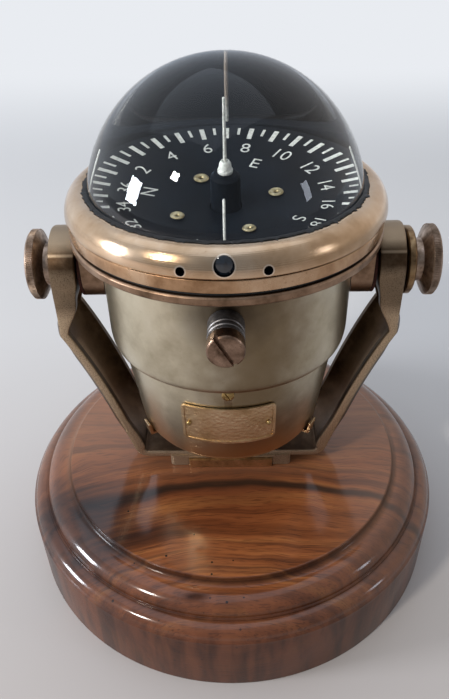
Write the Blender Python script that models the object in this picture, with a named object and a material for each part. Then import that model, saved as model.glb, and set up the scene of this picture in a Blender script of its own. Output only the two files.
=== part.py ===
"""Liquid-filled binnacle compass: a domed brass bowl, hung on two clamp knobs
in a cast bronze yoke that stands on a turned wooden plinth.

Millimetres throughout, turned to metres where a mesh is made. The origin is
the middle of the plinth's underside, +Z is up, X runs along the bowl's tilt
axis and the front of the compass faces -Y.
"""

import math

import bmesh
import bpy
from mathutils import Matrix, Vector

MM = 0.001

# ---------------------------------------------------------------- clearances
GAP = 0.3                    # between pieces that seat on each other
RUN = 0.3                    # between a pin or stud and its hole

# -------------------------------------------------------------------- plinth
PLINTH_R = 100.0
PLINTH_SIDE_H = 30.7         # height of the straight side
PLINTH_TOP = 46.2            # height of the flat top
MOULDING_W = 20.0            # from the flat top out to the straight side
COVE_R = 3.2                 # hollow just outside the flat
OVOLO_W = 8.8                # round moulding, width and height
OVOLO_H = 6.2
FILLET = 0.9                 # small square step under the ovolo
FOOT_CHAMFER = 0.8
TOP_EASING = 0.6             # softened arris of the flat top

# -------------------------------------------------------------- slide plate
PLATE_HALF_X = 20.0
PLATE_HALF_Y = 18.5
PLATE_T = 4.5
PLATE_CORNER = 0.8

# ---------------------------------------------------------------- foot screws
SCREW_R = 2.0
SCREW_HEAD_R = 4.0
SCREW_HEAD_H = 2.6
SCREW_IN_WOOD = 17.0
SCREW_HEAD_TAPER = 0.9       # top of a screw's head over its underside
SCREW_INSET_X = 7.0          # from the slide plate's edges to the screws
SCREW_INSET_Y = 9.5

# ---------------------------------------------------------------- upper bowl
AXIS_RISE = 102.4            # height of the tilt axis above the plinth
BOWL_R = 50.9                # outside of the liquid chamber
BOWL_WALL = 2.5
SEAM_DROP = 29.2             # tilt axis down to the joint with the lower casing
SEAM_INSET = 1.2             # the chamber's lower edge inside its wall
SHOULDER_H = 6.0             # rounded lower edge of the chamber
FLOOR_T = 3.0
FLOOR_FILLET = 3.0
FLOOR_W = 20.4               # width of the floor, in from the bore
SPIGOT_DEPTH = 6.6           # ring that the lower casing fits over
SPIGOT_T = 2.4

# --------------------------------------------------- flange ring and lugs
FLANGE_REACH = 10.4          # how far the ring stands out from the chamber
FLANGE_RISE = 16.5           # its underside above the tilt axis
FLANGE_T = 3.7
FLANGE_EASING = 0.5
LUG_R = 13.0
LUG_SETBACK = 3.0            # lug face inside the ring's edge

# ------------------------------------------------- rim: gasket, band, bezel
GASKET_T = 1.2
GASKET_INSET = 1.3           # leaves the dark groove round the rim
GASKET_LAP = 1.0             # gasket outside the chamber's bore
BAND_H = 4.8
BAND_T = 2.8
BAND_INSET = 0.2
BAND_EASING = 0.4
BEZEL_PROUD = 0.5            # bezel's back outside the flange ring
BEZEL_H = 9.3
BEZEL_FOOT_H = 0.8           # upright part under the bezel's round back
BEZEL_LIP_W = 0.6
SEALANT_W = 1.4              # from the dome to the bezel's lip

# ---------------------------------------------------------------------- dome
DOME_OVER_BOWL = 2.3         # dome's radius over the chamber's
DOME_RISE = 27.2             # centre of the sphere above the tilt axis
DOME_WALL = 3.2
DOME_FLANGE_ROOM = 0.5       # between the dome's flange and the band
DOME_FLANGE_T = 3.0
SEALANT_T = 1.3
SEALANT_SLOPE = 0.8          # outer edge of the sealant over its inner edge

# ---------------------------------------------------- lamp port in the bezel
PORT_R = 3.3
PORT_RISE = 31.6             # above the tilt axis
PORT_DEPTH = 3.0
WINDOW_T = 1.2
PORT_TILT = 10.0             # degrees that the port looks upwards
PORT_SCREW_R = 1.4
PORT_SCREW_ANGLE = 13.1      # degrees to each side of the port
PORT_SCREW_RISE = 29.5
PORT_SCREW_DEPTH = 4.0

# -------------------------------------------------------------- lower casing
CASING_INSET = 2.8           # top of the casing inside the chamber's edge
CASING_TAPER = 5.8           # bottom of the casing inside its top
CASING_H = 44.4              # seam down to the casing's lower edge
CASING_WALL = 2.2
CASING_EDGE_R = 1.6
CASING_SCREW_R = 2.5
CASING_SCREW_H = 1.4
CASING_SCREW_SHANK_R = 1.3
CASING_SCREW_DROP = 3.4      # below the seam
CASING_SCREW_ANGLES = (("front", -90.0), ("right", 30.0), ("left", 150.0))
COVER_T = 2.2
COVER_EDGE = 1.0
COVER_SPIGOT = 2.0
EAR_W = 5.0
EAR_T = 1.1
EAR_H = 5.0
EAR_ROOT = 6.0               # how far an ear's arm reaches in over the cover
EAR_RISE = 0.4
EAR_LEAN = 0.3               # an ear's tab stands off a little more at its top
EAR_ANGLES = (90.0, 210.0, 330.0)

# --------------------------------------------------------------- name plate
BADGE_HALF_W = 19.2
BADGE_H = 21.0
BADGE_T = 0.9
BADGE_DROP = 21.9            # from the seam to its middle
BADGE_BORDER = 1.2           # raised border round the plain field
BADGE_SUNK = 0.35            # field below the border
BADGE_PIN_INSET = 2.9        # from its ends to its pins
BADGE_PIN_R = 1.1
BADGE_PIN_H = 0.9
BADGE_PIN_SHANK_R = 0.66
BADGE_PIN_L = 4.2
BADGE_CORNER_R = 2.2

# ---------------------------------------------------------------- filler plug
FILLER_RISE = 2.8            # above the tilt axis
FILLER_R = 6.6
FILLER_BOSS_L = 10.3         # how far the boss stands out from the chamber
FILLER_BOSS_ROOT = 3.0       # metal behind the saddle before it is cut
PLUG_EASING = 0.5
PLUG_HEAD_T = 5.6
PLUG_SHANK_R = 4.2
PLUG_SHANK_L = 8.0
PLUG_SLOT_W = 1.4
PLUG_SLOT_D = 1.6
PLUG_SLOT_ANGLE = 30.0       # degrees from upright

# --------------------------------------------------------- friction washers
WASHER_T = 1.1

# -------------------------------------------------------------- yoke bracket
YOKE_HALF_W = 16.0           # half of its width, front to back
YOKE_EDGE = 3.3              # thickness of the arm's edges and of the foot
HEEL_T = 5.2                 # thickness of the edges at the heel
BOSS_T = 10.3                # boss thickness along the axis
KINK_DROP = 26.1             # tilt axis down to where the arm starts to slant
HEEL_SETBACK = 24.5          # lower end of the slanted arm, in from the boss face
HEEL_RISE = 5.5
HEEL_TANGENT = 1.4           # steers the curve of the heel
FOOT_BEND = 7.8              # from the heel in to where the foot starts to bend
ARM_BOW_SETBACK = 14.0       # steers the slight curve of the arm
ARM_BOW_DROP = 52.5
TROUGH = 7.2                 # depth of the arm's hollow inner side
BULGE = 6.6                  # roundness of the arm's outer side
HEEL_BLEND = 18.0            # height over which both grow to their full size
KINK_BLEND = 14.0            # and start to shrink again under the kink
PAD_REACH = 9.0              # cast pad beyond the slide plate, each side
PAD_SETBACK = 1.5            # and inside it, front and back
PAD_CORNER = 2.0
PAD_LAP = 1.2                # how far the pad runs up into the foot

# ---------------------------------------------------------- studs and knobs
STUD_R = 4.0
STUD_IN_LUG = 5.7
STUD_CHAMFER = 0.8
KNOB_R = 14.5
KNOB_RIM_T = 3.7
KNOB_CHAMFER = 0.9
KNOB_DISH = 0.8              # hub's end below the rim's face
HUB_R = 8.8
HUB_L = 5.9
HUB_CONE_L = 2.2             # the hub's end that widens out to the rim
HUB_STEP = 1.0
LOCK_DISC_R = 14.0
LOCK_DISC_T = 3.2
LOCK_DISC_CHAMFER = 0.8
LOCK_COLLAR_R = 9.5          # raised face that meets the boss
LOCK_COLLAR_T = 1.1

# ------------------------------------------------------- expansion diaphragm
DIAPHRAGM_ROOM = 1.5         # between its edge and the spigot's bore
DIAPHRAGM_T = 0.8
DIAPHRAGM_WAVE = 1.6
DIAPHRAGM_RIPPLES = 2
DIAPHRAGM_FLAT = 2.0         # plain part inside the clamp ring
CLAMP_RING_LAP = 7.5         # how far the ring covers the diaphragm's edge
CLAMP_RING_T = 2.4

# ------------------------------------------------------------------- gimbal
GIMBAL_RISE = 18.4           # both gimbal axes above the tilt axis
RING_ROOM = 1.3              # between the ring and the chamber's bore
RING_T = 1.5
RING_H = 5.4
PIN_R = 1.2
PIN_BLIND = 0.9              # wall left outside a pin's seat in the chamber
FRAME_ROOM = 3.4             # between the lubber ring and the gimbal ring
FRAME_T = 2.6
FRAME_TOP_RISE = 12.0        # above the gimbal axes
FRAME_BOTTOM_RISE = 5.6
HANGER_W = 8.0               # ears that hang the frame from the ring
HANGER_INSET = 0.2
HANGER_LAP = 1.0
STIRRUP_DEPTH = 27.0         # how far the stirrup drops under the frame
STIRRUP_W = 9.0
STIRRUP_T = 2.2
LUBBER_PIN_R = 0.45
LUBBER_PIN_L = 13.5          # above the lubber ring
LUBBER_PIN_LEAN = 3.2        # how far its top leans in over the card
LUBBER_PIN_SEAT = 2.4
PIN_POINT = 0.4              # short cone at the end of each white pin
WEIGHT_R = 21.0
WEIGHT_H = 11.0
WEIGHT_WAIST = 0.55          # where its underside's cone starts, of its size
POST_R = 2.2
POST_TAIL_R = 1.54
POST_COLLAR_R = 3.5
POST_COLLAR_H = 2.5
POST_SHOULDER_H = 4.0
POST_TAIL_IN_WEIGHT = 6.6
POST_POINT_L = 9.0           # tapered end under the jewel
POST_NECK_R = 0.9
POST_NECK_L = 2.0

# --------------------------------------------------------------------- card
CARD_RISE = 6.4              # pivot point above the gimbal axes
CARD_TILT = 7.7              # degrees that its front dips
CARD_ROOM = 1.0              # between the card and the lubber ring
CARD_T = 0.8
CARD_HUB_R = 4.6
HUB_FLANGE_W = 2.2           # under the card, also its thickness
HUB_CROWN = 6.4              # solid above the jewel
FLOAT_R = 8.0
FLOAT_H = 11.0
FLOAT_BORE_R = 5.0
FLOAT_CONE = 2.0             # sloped lower edge
FLOAT_EASING = 1.2
MAGNET_X = 10.4              # from the card's centre, across
MAGNET_R = 1.8
MAGNET_L = 38.0
EYELET_Y = 11.1              # along the magnets, from the centre
EYELET_R = 1.5
EYELET_H = 0.6
EYELET_SHANK_R = 0.83
EYELET_IN_MAGNET = 2.2
JEWEL_R = 3.2
JEWEL_H = 4.5
JEWEL_SKIRT = 2.0            # jewel below the pivot point
JEWEL_CUP_R = 0.8
FINIAL_R = 2.2
FINIAL_H = 3.8
FINIAL_SHOULDER = 0.55       # where its round top starts, of its height
SHADOW_PIN_R = 0.55
SHADOW_PIN_L = 25.3
CARD_HEADING = 70.0          # degrees shown at the back edge

# ------------------------------------------------------------ facet counts
PLINTH_SEGMENTS = 40
LARGE_SEGMENTS = 30
MEDIUM_SEGMENTS = 16
SMALL_SEGMENTS = 10
HOLE_SEGMENTS = 7

# ---------------------------------------------------- sizes that follow on
FLAT_R = PLINTH_R - MOULDING_W
PLATE_Z = PLINTH_TOP + GAP
FOOT_UNDER_Z = PLATE_Z + PLATE_T + GAP
FOOT_TOP_Z = FOOT_UNDER_Z + YOKE_EDGE
FOOT_SCREW_X = PLATE_HALF_X - SCREW_INSET_X
FOOT_SCREW_Y = PLATE_HALF_Y - SCREW_INSET_Y
PAD_HALF_X = PLATE_HALF_X + PAD_REACH
PAD_HALF_Y = PLATE_HALF_Y - PAD_SETBACK

AXIS_Z = PLINTH_TOP + AXIS_RISE
BOWL_BORE_R = BOWL_R - BOWL_WALL
SEAM_Z = AXIS_Z - SEAM_DROP
SEAM_R = BOWL_R - SEAM_INSET
FLOOR_OPENING_R = BOWL_BORE_R - FLOOR_W
FLANGE_R = BOWL_R + FLANGE_REACH
FLANGE_Z = AXIS_Z + FLANGE_RISE
FLANGE_TOP_Z = FLANGE_Z + FLANGE_T
BOWL_TOP_Z = FLANGE_TOP_Z
LUG_FACE_X = FLANGE_R - LUG_SETBACK

GASKET_Z = FLANGE_TOP_Z + GAP
BAND_Z = GASKET_Z + GASKET_T
BAND_R = FLANGE_R - BAND_INSET
BAND_BORE_R = BAND_R - BAND_T
BEZEL_Z = BAND_Z + BAND_H + GAP
BEZEL_TOP_Z = BEZEL_Z + BEZEL_H
BEZEL_BULGE_R = FLANGE_R + BEZEL_PROUD
DOME_R = BOWL_R + DOME_OVER_BOWL
DOME_BORE_R = DOME_R - DOME_WALL
DOME_Z = AXIS_Z + DOME_RISE
DOME_FLANGE_Z = BAND_Z
DOME_FLANGE_R = BAND_BORE_R - DOME_FLANGE_ROOM
BEZEL_LIP_R = DOME_R + SEALANT_W
PORT_Z = AXIS_Z + PORT_RISE
PORT_SCREW_Z = AXIS_Z + PORT_SCREW_RISE

CASING_TOP_R = SEAM_R - CASING_INSET
CASING_BOTTOM_R = CASING_TOP_R - CASING_TAPER
CASING_BOTTOM_Z = SEAM_Z - CASING_H
CASING_TOP_Z = SEAM_Z - GAP
CASING_SLOPE = CASING_TAPER / (CASING_TOP_Z - CASING_BOTTOM_Z)
CASING_SCREW_Z = SEAM_Z - CASING_SCREW_DROP
SPIGOT_R = CASING_TOP_R - CASING_WALL - GAP
SPIGOT_BORE_R = SPIGOT_R - SPIGOT_T
BADGE_Z = SEAM_Z - BADGE_DROP
BADGE_PIN_X = BADGE_HALF_W - BADGE_PIN_INSET
FILLER_Z = AXIS_Z + FILLER_RISE
FILLER_BOSS_Y = BOWL_R + FILLER_BOSS_L

BOSS_INNER_X = LUG_FACE_X + WASHER_T + 2 * GAP
BOSS_FACE_X = BOSS_INNER_X + BOSS_T
KINK_Z = AXIS_Z - KINK_DROP
HEEL_X = BOSS_FACE_X - HEEL_SETBACK
HEEL_Z = FOOT_UNDER_Z + HEEL_RISE
STUD_HOLE_R = STUD_R + RUN

DIAPHRAGM_R = SPIGOT_BORE_R - DIAPHRAGM_ROOM
CLAMP_RING_BORE_R = DIAPHRAGM_R - CLAMP_RING_LAP
GIMBAL_Z = AXIS_Z + GIMBAL_RISE
RING_R = BOWL_BORE_R - RING_ROOM
RING_BORE_R = RING_R - RING_T
PIN_HOLE_R = PIN_R + RUN
FRAME_R = RING_BORE_R - FRAME_ROOM
FRAME_BORE_R = FRAME_R - FRAME_T
FRAME_MIDDLE_R = FRAME_R - FRAME_T / 2
FRAME_TOP_Z = GIMBAL_Z + FRAME_TOP_RISE
FRAME_BOTTOM_Z = GIMBAL_Z + FRAME_BOTTOM_RISE
CARD_Z = GIMBAL_Z + CARD_RISE
CARD_R = FRAME_BORE_R - CARD_ROOM
POST_TIP_Z = CARD_Z - GAP
POST_HOLE_R = POST_TAIL_R + RUN
EYELET_HOLE_R = EYELET_SHANK_R + RUN
BADGE_PIN_HOLE_R = BADGE_PIN_SHANK_R + RUN
HUB_TOP = JEWEL_H + GAP + HUB_CROWN


# =============================================================== helpers
def clear_scene():
    for obj in list(bpy.data.objects):
        bpy.data.objects.remove(obj, do_unlink=True)


def material(name, colour, roughness, metallic=0.0, alpha=1.0):
    """A Principled material, made once and then shared."""
    found = bpy.data.materials.get(name)
    if found:
        return found
    made = bpy.data.materials.new(name)
    made.use_nodes = True
    shader = made.node_tree.nodes["Principled BSDF"]
    shader.inputs["Base Color"].default_value = (*colour, 1.0)
    shader.inputs["Roughness"].default_value = roughness
    shader.inputs["Metallic"].default_value = metallic
    shader.inputs["Alpha"].default_value = alpha
    made.diffuse_color = (*colour, alpha)
    return made


WALNUT = ("varnished_walnut", (0.20, 0.085, 0.035), 0.25, 0.0)
CAST_BRONZE = ("cast_bronze", (0.27, 0.19, 0.11), 0.50, 1.0)
LUG_BRONZE = ("machined_bronze", (0.42, 0.26, 0.17), 0.45, 1.0)
DULL_BRASS = ("dull_brass", (0.50, 0.45, 0.32), 0.42, 1.0)
ROSE_BRONZE = ("polished_rose_bronze", (0.62, 0.47, 0.38), 0.20, 1.0)
PLATE_BRASS = ("plate_brass", (0.55, 0.40, 0.22), 0.35, 1.0)
RUBBER = ("black_rubber", (0.02, 0.02, 0.02), 0.70, 0.0)
FIBRE = ("red_fibre", (0.25, 0.07, 0.04), 0.80, 0.0)
CLEAR = ("clear_acrylic", (0.95, 0.97, 0.98), 0.03, 0.0, 0.35)
BLACK = ("black_enamel", (0.02, 0.02, 0.022), 0.50, 0.0)
WHITE = ("white_enamel", (0.80, 0.80, 0.78), 0.40, 0.0)
STEEL = ("magnet_steel", (0.30, 0.30, 0.32), 0.35, 1.0)
LEAD = ("lead_weight", (0.22, 0.22, 0.24), 0.60, 1.0)


def add(name, mesh, finish, place=(0.0, 0.0, 0.0), turn=None):
    """Puts a mesh, made in millimetres about its own origin, into the scene."""
    mesh.transform(Matrix.Scale(MM, 4))
    mesh.shade_smooth()
    mesh.set_sharp_from_angle(angle=math.radians(32))
    obj = bpy.data.objects.new(name, mesh)
    bpy.context.collection.objects.link(obj)
    rotation = turn if turn is not None else Matrix.Identity(4)
    obj.matrix_world = Matrix.Translation(Vector(place) * MM) @ rotation
    if finish:
        obj.data.materials.append(material(*finish))
    return obj


def finished(bm, name):
    """The bmesh as a mesh, welded and with its faces looking outwards."""
    bmesh.ops.remove_doubles(bm, verts=bm.verts, dist=1e-5)
    bmesh.ops.dissolve_degenerate(bm, edges=bm.edges, dist=1e-5)
    bmesh.ops.recalc_face_normals(bm, faces=bm.faces)
    mesh = bpy.data.meshes.new(name)
    bm.to_mesh(mesh)
    bm.free()
    return mesh


def lathe_mesh(name, outline, segments):
    """A closed outline of (radius, height) points, spun round Z."""
    bm = bmesh.new()
    verts = [bm.verts.new((r, 0.0, z)) for r, z in outline]
    edges = [bm.edges.new((a, b)) for a, b in zip(verts, verts[1:] + verts[:1])
             if max(a.co.x, b.co.x) > 1e-6]
    bmesh.ops.spin(bm, geom=verts + edges, cent=(0, 0, 0), axis=(0, 0, 1),
                   dvec=(0, 0, 0), angle=math.tau, steps=segments, use_merge=True)
    return finished(bm, name)


def turned(name, outline, finish, segments=LARGE_SEGMENTS, place=(0.0, 0.0, 0.0), turn=None):
    """A turned piece. Its outline's heights are above `place`."""
    return add(name, lathe_mesh(name, outline, segments), finish, place, turn)


def turned_at(name, z, outline, finish, segments=LARGE_SEGMENTS):
    """A turned piece on the main axis, its outline given in the part's heights."""
    local = [(r, height - z) for r, height in outline]
    return turned(name, local, finish, segments, (0.0, 0.0, z))


def arc(cx, cz, rx, rz, start, end, steps):
    """Points on a quarter or other part of an ellipse, ends included."""
    angles = [math.radians(start + (end - start) * i / steps) for i in range(steps + 1)]
    return [(cx + rx * math.cos(a), cz + rz * math.sin(a)) for a in angles]


def extruded_mesh(name, outline, low, high):
    """A flat outline of (x, y) points, extruded along Z."""
    bm = bmesh.new()
    face = bm.faces.new([bm.verts.new((x, y, low)) for x, y in outline])
    made = bmesh.ops.extrude_face_region(bm, geom=[face])
    lifted = [v for v in made["geom"] if isinstance(v, bmesh.types.BMVert)]
    bmesh.ops.translate(bm, verts=lifted, vec=(0, 0, high - low))
    return finished(bm, name)


def rectangle(half_x, half_y, corner=0.0, steps=4):
    if not corner:
        return [(-half_x, -half_y), (half_x, -half_y), (half_x, half_y), (-half_x, half_y)]
    x, y = half_x - corner, half_y - corner
    return (arc(x, y, corner, corner, 0, 90, steps) + arc(-x, y, corner, corner, 90, 180, steps)
            + arc(-x, -y, corner, corner, 180, 270, steps)
            + arc(x, -y, corner, corner, 270, 360, steps))


def circle(radius, segments=SMALL_SEGMENTS):
    return arc(0, 0, radius, radius, 0, 360 * (segments - 1) / segments, segments - 1)


def cutter(name, outline, low, high, place=(0.0, 0.0, 0.0), turn=None):
    """An extruded tool for a Boolean. It isn't part of the compass."""
    tool = add(name, extruded_mesh(name, outline, low, high), None, place, turn)
    tool.hide_render = True
    tool.display_type = "WIRE"
    return tool


def boolean(obj, tool, operation="DIFFERENCE"):
    modifier = obj.modifiers.new(tool.name, "BOOLEAN")
    modifier.operation = operation
    modifier.solver = "EXACT"
    modifier.object = tool


def loft_mesh(name, rings):
    """Closed rings of equal length, bridged in order and capped at both ends."""
    bm = bmesh.new()
    loops = [[bm.verts.new(point) for point in ring] for ring in rings]
    for near, far in zip(loops, loops[1:]):
        for i, vert in enumerate(near):
            following = (i + 1) % len(near)
            bm.faces.new((vert, near[following], far[following], far[i]))
    bm.faces.new(loops[0])
    bm.faces.new(loops[-1])
    return finished(bm, name)


def bezier(start, control, end, steps):
    """Points and unit tangents of a quadratic curve in a plane."""
    found = []
    for i in range(steps + 1):
        t = i / steps
        point = [(1 - t) ** 2 * a + 2 * t * (1 - t) * b + t * t * c
                 for a, b, c in zip(start, control, end)]
        slope = [2 * (1 - t) * (b - a) + 2 * t * (c - b) for a, b, c in zip(start, control, end)]
        length = math.hypot(*slope)
        found.append((point, (slope[0] / length, slope[1] / length)))
    return found


def between(value, table):
    """Reads a table of (position, amount) pairs, with straight lines between."""
    for (low, first), (high, second) in zip(table, table[1:]):
        if value <= high:
            share = (value - low) / (high - low)
            return first + (second - first) * min(max(share, 0.0), 1.0)
    return table[-1][1]


def joint_axis(name, place, children):
    """An empty on a joint's axis, which carries what turns there."""
    axis = bpy.data.objects.new(name, None)
    axis.empty_display_size = 0.02
    axis.location = Vector(place) * MM
    bpy.context.collection.objects.link(axis)
    bpy.context.view_layer.update()
    for child in children:
        child.parent = axis
        child.matrix_parent_inverse = axis.matrix_world.inverted()
    return axis


ALONG_X = Matrix.Rotation(math.radians(90), 4, "Y")          # local Z points to +X
ALONG_MINUS_X = Matrix.Rotation(math.radians(-90), 4, "Y")   # local Z points to -X
ALONG_Y = Matrix.Rotation(math.radians(-90), 4, "X")         # local Z points to +Y
ALONG_MINUS_Y = Matrix.Rotation(math.radians(90), 4, "X")    # local Z points to -Y
HALF_FACET = Matrix.Rotation(math.pi / LARGE_SEGMENTS, 4, "Z")    # keeps facets from lining up


def outwards(degrees_round, tilt=0.0):
    """Local Z points away from the main axis at this angle, local Y upwards."""
    swing = Matrix.Rotation(math.radians(degrees_round), 4, "Z")
    return swing @ Matrix.Rotation(math.radians(90 - tilt), 4, "Y") @ Matrix.Rotation(
        math.radians(90), 4, "Z")


# ================================================================ plinth
def wood_plinth():
    cove_x = FLAT_R + COVE_R
    ovolo_top = PLINTH_TOP - COVE_R
    ovolo_x = cove_x + OVOLO_W
    ovolo_foot = ovolo_top - OVOLO_H
    step_x = ovolo_x + FILLET
    step_z = ovolo_foot - FILLET
    edge = arc(PLINTH_R - FOOT_CHAMFER, PLINTH_SIDE_H - FOOT_CHAMFER,
               FOOT_CHAMFER, FOOT_CHAMFER, 0, 90, 1)
    slope = arc(step_x, PLINTH_SIDE_H, PLINTH_R - FOOT_CHAMFER - step_x,
                step_z - PLINTH_SIDE_H, 12, 84, 3)
    ovolo = arc(cove_x, ovolo_foot, OVOLO_W, OVOLO_H, 0, 90, 4)
    cove = arc(cove_x, PLINTH_TOP - TOP_EASING, COVE_R, COVE_R - TOP_EASING, 270, 180, 2)
    outline = ([(0, 0), (PLINTH_R - FOOT_CHAMFER, 0), (PLINTH_R, FOOT_CHAMFER)] + edge + slope
               + [(step_x, step_z), (step_x, ovolo_foot)] + ovolo + cove
               + [(FLAT_R - TOP_EASING, PLINTH_TOP), (0, PLINTH_TOP)])
    plinth = turned("wood_plinth", outline, WALNUT, PLINTH_SEGMENTS)
    for name, x, y in foot_screw_places():
        hole = cutter(f"pilot_{name}", circle(SCREW_R + RUN, HOLE_SEGMENTS),
                      PLINTH_TOP - SCREW_IN_WOOD - GAP, PLINTH_TOP + 1, (x, y, 0))
        boolean(plinth, hole)
    return plinth


def foot_screw_places():
    return [(f"{side}_{end}", sx * FOOT_SCREW_X, sy * FOOT_SCREW_Y)
            for side, sx in (("left", -1), ("right", 1)) for end, sy in (("front", -1), ("rear", 1))]


def slide_plate():
    outline = rectangle(PLATE_HALF_X, PLATE_HALF_Y, PLATE_CORNER, 2)
    plate = add("slide_plate", extruded_mesh("slide_plate", outline, 0, PLATE_T), PLATE_BRASS,
                (0, 0, PLATE_Z))
    for name, x, y in foot_screw_places():
        boolean(plate, cutter(f"plate_hole_{name}", circle(SCREW_R + RUN, HOLE_SEGMENTS), PLATE_Z - 1,
                              PLATE_Z + PLATE_T + 1, (x, y, 0)))
    return plate


def cheese_head_screw(name, place, turn, radius, head_r, head_h, length):
    """A plain screw. Its shank runs from local 0 down, its head stands above 0."""
    outline = [(0, -length), (radius, -length + radius), (radius, 0), (head_r, 0),
               (head_r * SCREW_HEAD_TAPER, head_h), (0, head_h)]
    return turned(name, outline, PLATE_BRASS, SMALL_SEGMENTS, place, turn)


def foot_screws():
    head_seat = FOOT_TOP_Z + GAP
    length = head_seat - PLINTH_TOP + SCREW_IN_WOOD
    return [cheese_head_screw(f"foot_screw_{name}", (x, y, head_seat), None, SCREW_R, SCREW_HEAD_R,
                              SCREW_HEAD_H, length)
            for name, x, y in foot_screw_places()]


# ================================================================== yoke
def yoke_stations():
    """Sections up the right half of the yoke, from the middle of its foot.

    Each is (x, z, outward normal, half width, edge thickness, bulge, trough).
    """
    foot_bend_x, tangent_x = HEEL_X - FOOT_BEND, HEEL_X - HEEL_TANGENT
    bow = (BOSS_FACE_X - ARM_BOW_SETBACK, AXIS_Z - ARM_BOW_DROP)
    path = [((0.0, FOOT_UNDER_Z), (1.0, 0.0)), ((PAD_HALF_X, FOOT_UNDER_Z), (1.0, 0.0))]
    path += bezier((foot_bend_x, FOOT_UNDER_Z), (tangent_x, FOOT_UNDER_Z), (HEEL_X, HEEL_Z), 3)
    path += bezier((HEEL_X, HEEL_Z), bow, (BOSS_FACE_X, KINK_Z), 6)[1:]
    kink_point, _ = path.pop()
    path.append((kink_point, (0.24, 0.97)))
    rise = AXIS_Z - KINK_Z
    path += [((BOSS_FACE_X, KINK_Z + rise * share), (0.0, 1.0)) for share in (0.2, 0.4, 0.6, 1.0)]
    edge = [(FOOT_UNDER_Z, YOKE_EDGE), (HEEL_Z, HEEL_T), (HEEL_Z + HEEL_BLEND, YOKE_EDGE),
            (KINK_Z, YOKE_EDGE), (KINK_Z + rise * 0.6, BOSS_T * 0.85), (AXIS_Z, BOSS_T)]
    bulge = [(FOOT_UNDER_Z, 0.0), (HEEL_Z, BULGE * 0.5), (HEEL_Z + HEEL_BLEND, BULGE),
             (KINK_Z - KINK_BLEND, BULGE), (KINK_Z, BULGE * 0.6), (AXIS_Z - YOKE_HALF_W, 0.0)]
    trough = [(FOOT_UNDER_Z, 0.0), (HEEL_Z, TROUGH * 0.5), (HEEL_Z + HEEL_BLEND, TROUGH),
              (KINK_Z - KINK_BLEND, TROUGH), (KINK_Z, TROUGH * 0.68), (KINK_Z + rise * 0.4, TROUGH * 0.62),
              (KINK_Z + rise * 0.7, 0.0)]
    stations = []
    for (x, z), (tx, tz) in path:
        stations.append((x, z, (tz, -tx), YOKE_HALF_W, between(z, edge), between(z, bulge),
                         between(z, trough)))
    for step in range(1, 6):
        angle = math.radians(17 * step)
        stations.append((BOSS_FACE_X, AXIS_Z + YOKE_HALF_W * math.sin(angle), (1.0, 0.0),
                         YOKE_HALF_W * math.cos(angle), BOSS_T, 0.0, 0.0))
    return stations


def yoke_section(station, side, steps=5):
    """One closed section: a curved outer face, and an inner face hollowed like a trough."""
    x, z, (nx, nz), half, edge, bulge, trough = station
    ring = []
    for face, depth, curve in ((1, 0.0, bulge), (-1, -edge, trough)):
        for i in range(steps + 1):
            y = face * half * (2 * i / steps - 1)
            out = depth + curve * (1 - (y / half) ** 2)
            ring.append((side * (x + nx * out), y, z + nz * out))
    return ring


def yoke_bracket():
    right = yoke_stations()
    rings = [yoke_section(station, -1) for station in reversed(right[1:])]
    rings += [yoke_section(station, 1) for station in right]
    yoke = add("yoke_bracket", loft_mesh("yoke_bracket", rings), CAST_BRONZE)
    pad = cutter("foot_pad", rectangle(PAD_HALF_X, PAD_HALF_Y, PAD_CORNER, 3), PLATE_Z,
                 FOOT_UNDER_Z + PAD_LAP)
    boolean(yoke, pad, "UNION")
    groove = cutter("plate_groove", rectangle(PLATE_HALF_X + GAP, PAD_HALF_Y + 5), PLATE_Z - 1,
                    FOOT_UNDER_Z)
    boolean(yoke, groove)
    for name, x, y in foot_screw_places():
        boolean(yoke, cutter(f"foot_hole_{name}", circle(SCREW_R + RUN, HOLE_SEGMENTS), FOOT_UNDER_Z - 1,
                             FOOT_TOP_Z + 1, (x, y, 0)))
    for name, turn in (("left", ALONG_MINUS_X), ("right", ALONG_X)):
        boolean(yoke, cutter(f"boss_bore_{name}", circle(STUD_HOLE_R), BOSS_INNER_X - 2,
                             BOSS_FACE_X + 2, (0, 0, AXIS_Z), turn))
    return yoke


# ============================================================= tilt pivots
def friction_washer(name, turn):
    low, high = LUG_FACE_X + GAP, BOSS_INNER_X - GAP
    outline = [(STUD_HOLE_R, low), (LUG_R, low), (LUG_R, high), (STUD_HOLE_R, high)]
    return turned(name, outline, FIBRE, MEDIUM_SEGMENTS, (0, 0, AXIS_Z), turn)


def lock_disc():
    low = BOSS_FACE_X + GAP
    back = low + LOCK_COLLAR_T
    high = back + LOCK_DISC_T
    c = LOCK_DISC_CHAMFER
    outline = [(STUD_HOLE_R, low), (LOCK_COLLAR_R, low), (LOCK_COLLAR_R, back), (LOCK_DISC_R - c, back),
               (LOCK_DISC_R, back + c), (LOCK_DISC_R, high - c), (LOCK_DISC_R - c, high),
               (STUD_HOLE_R, high)]
    return turned("right_lock_disc", outline, DULL_BRASS, MEDIUM_SEGMENTS, (0, 0, AXIS_Z), ALONG_X)


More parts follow.
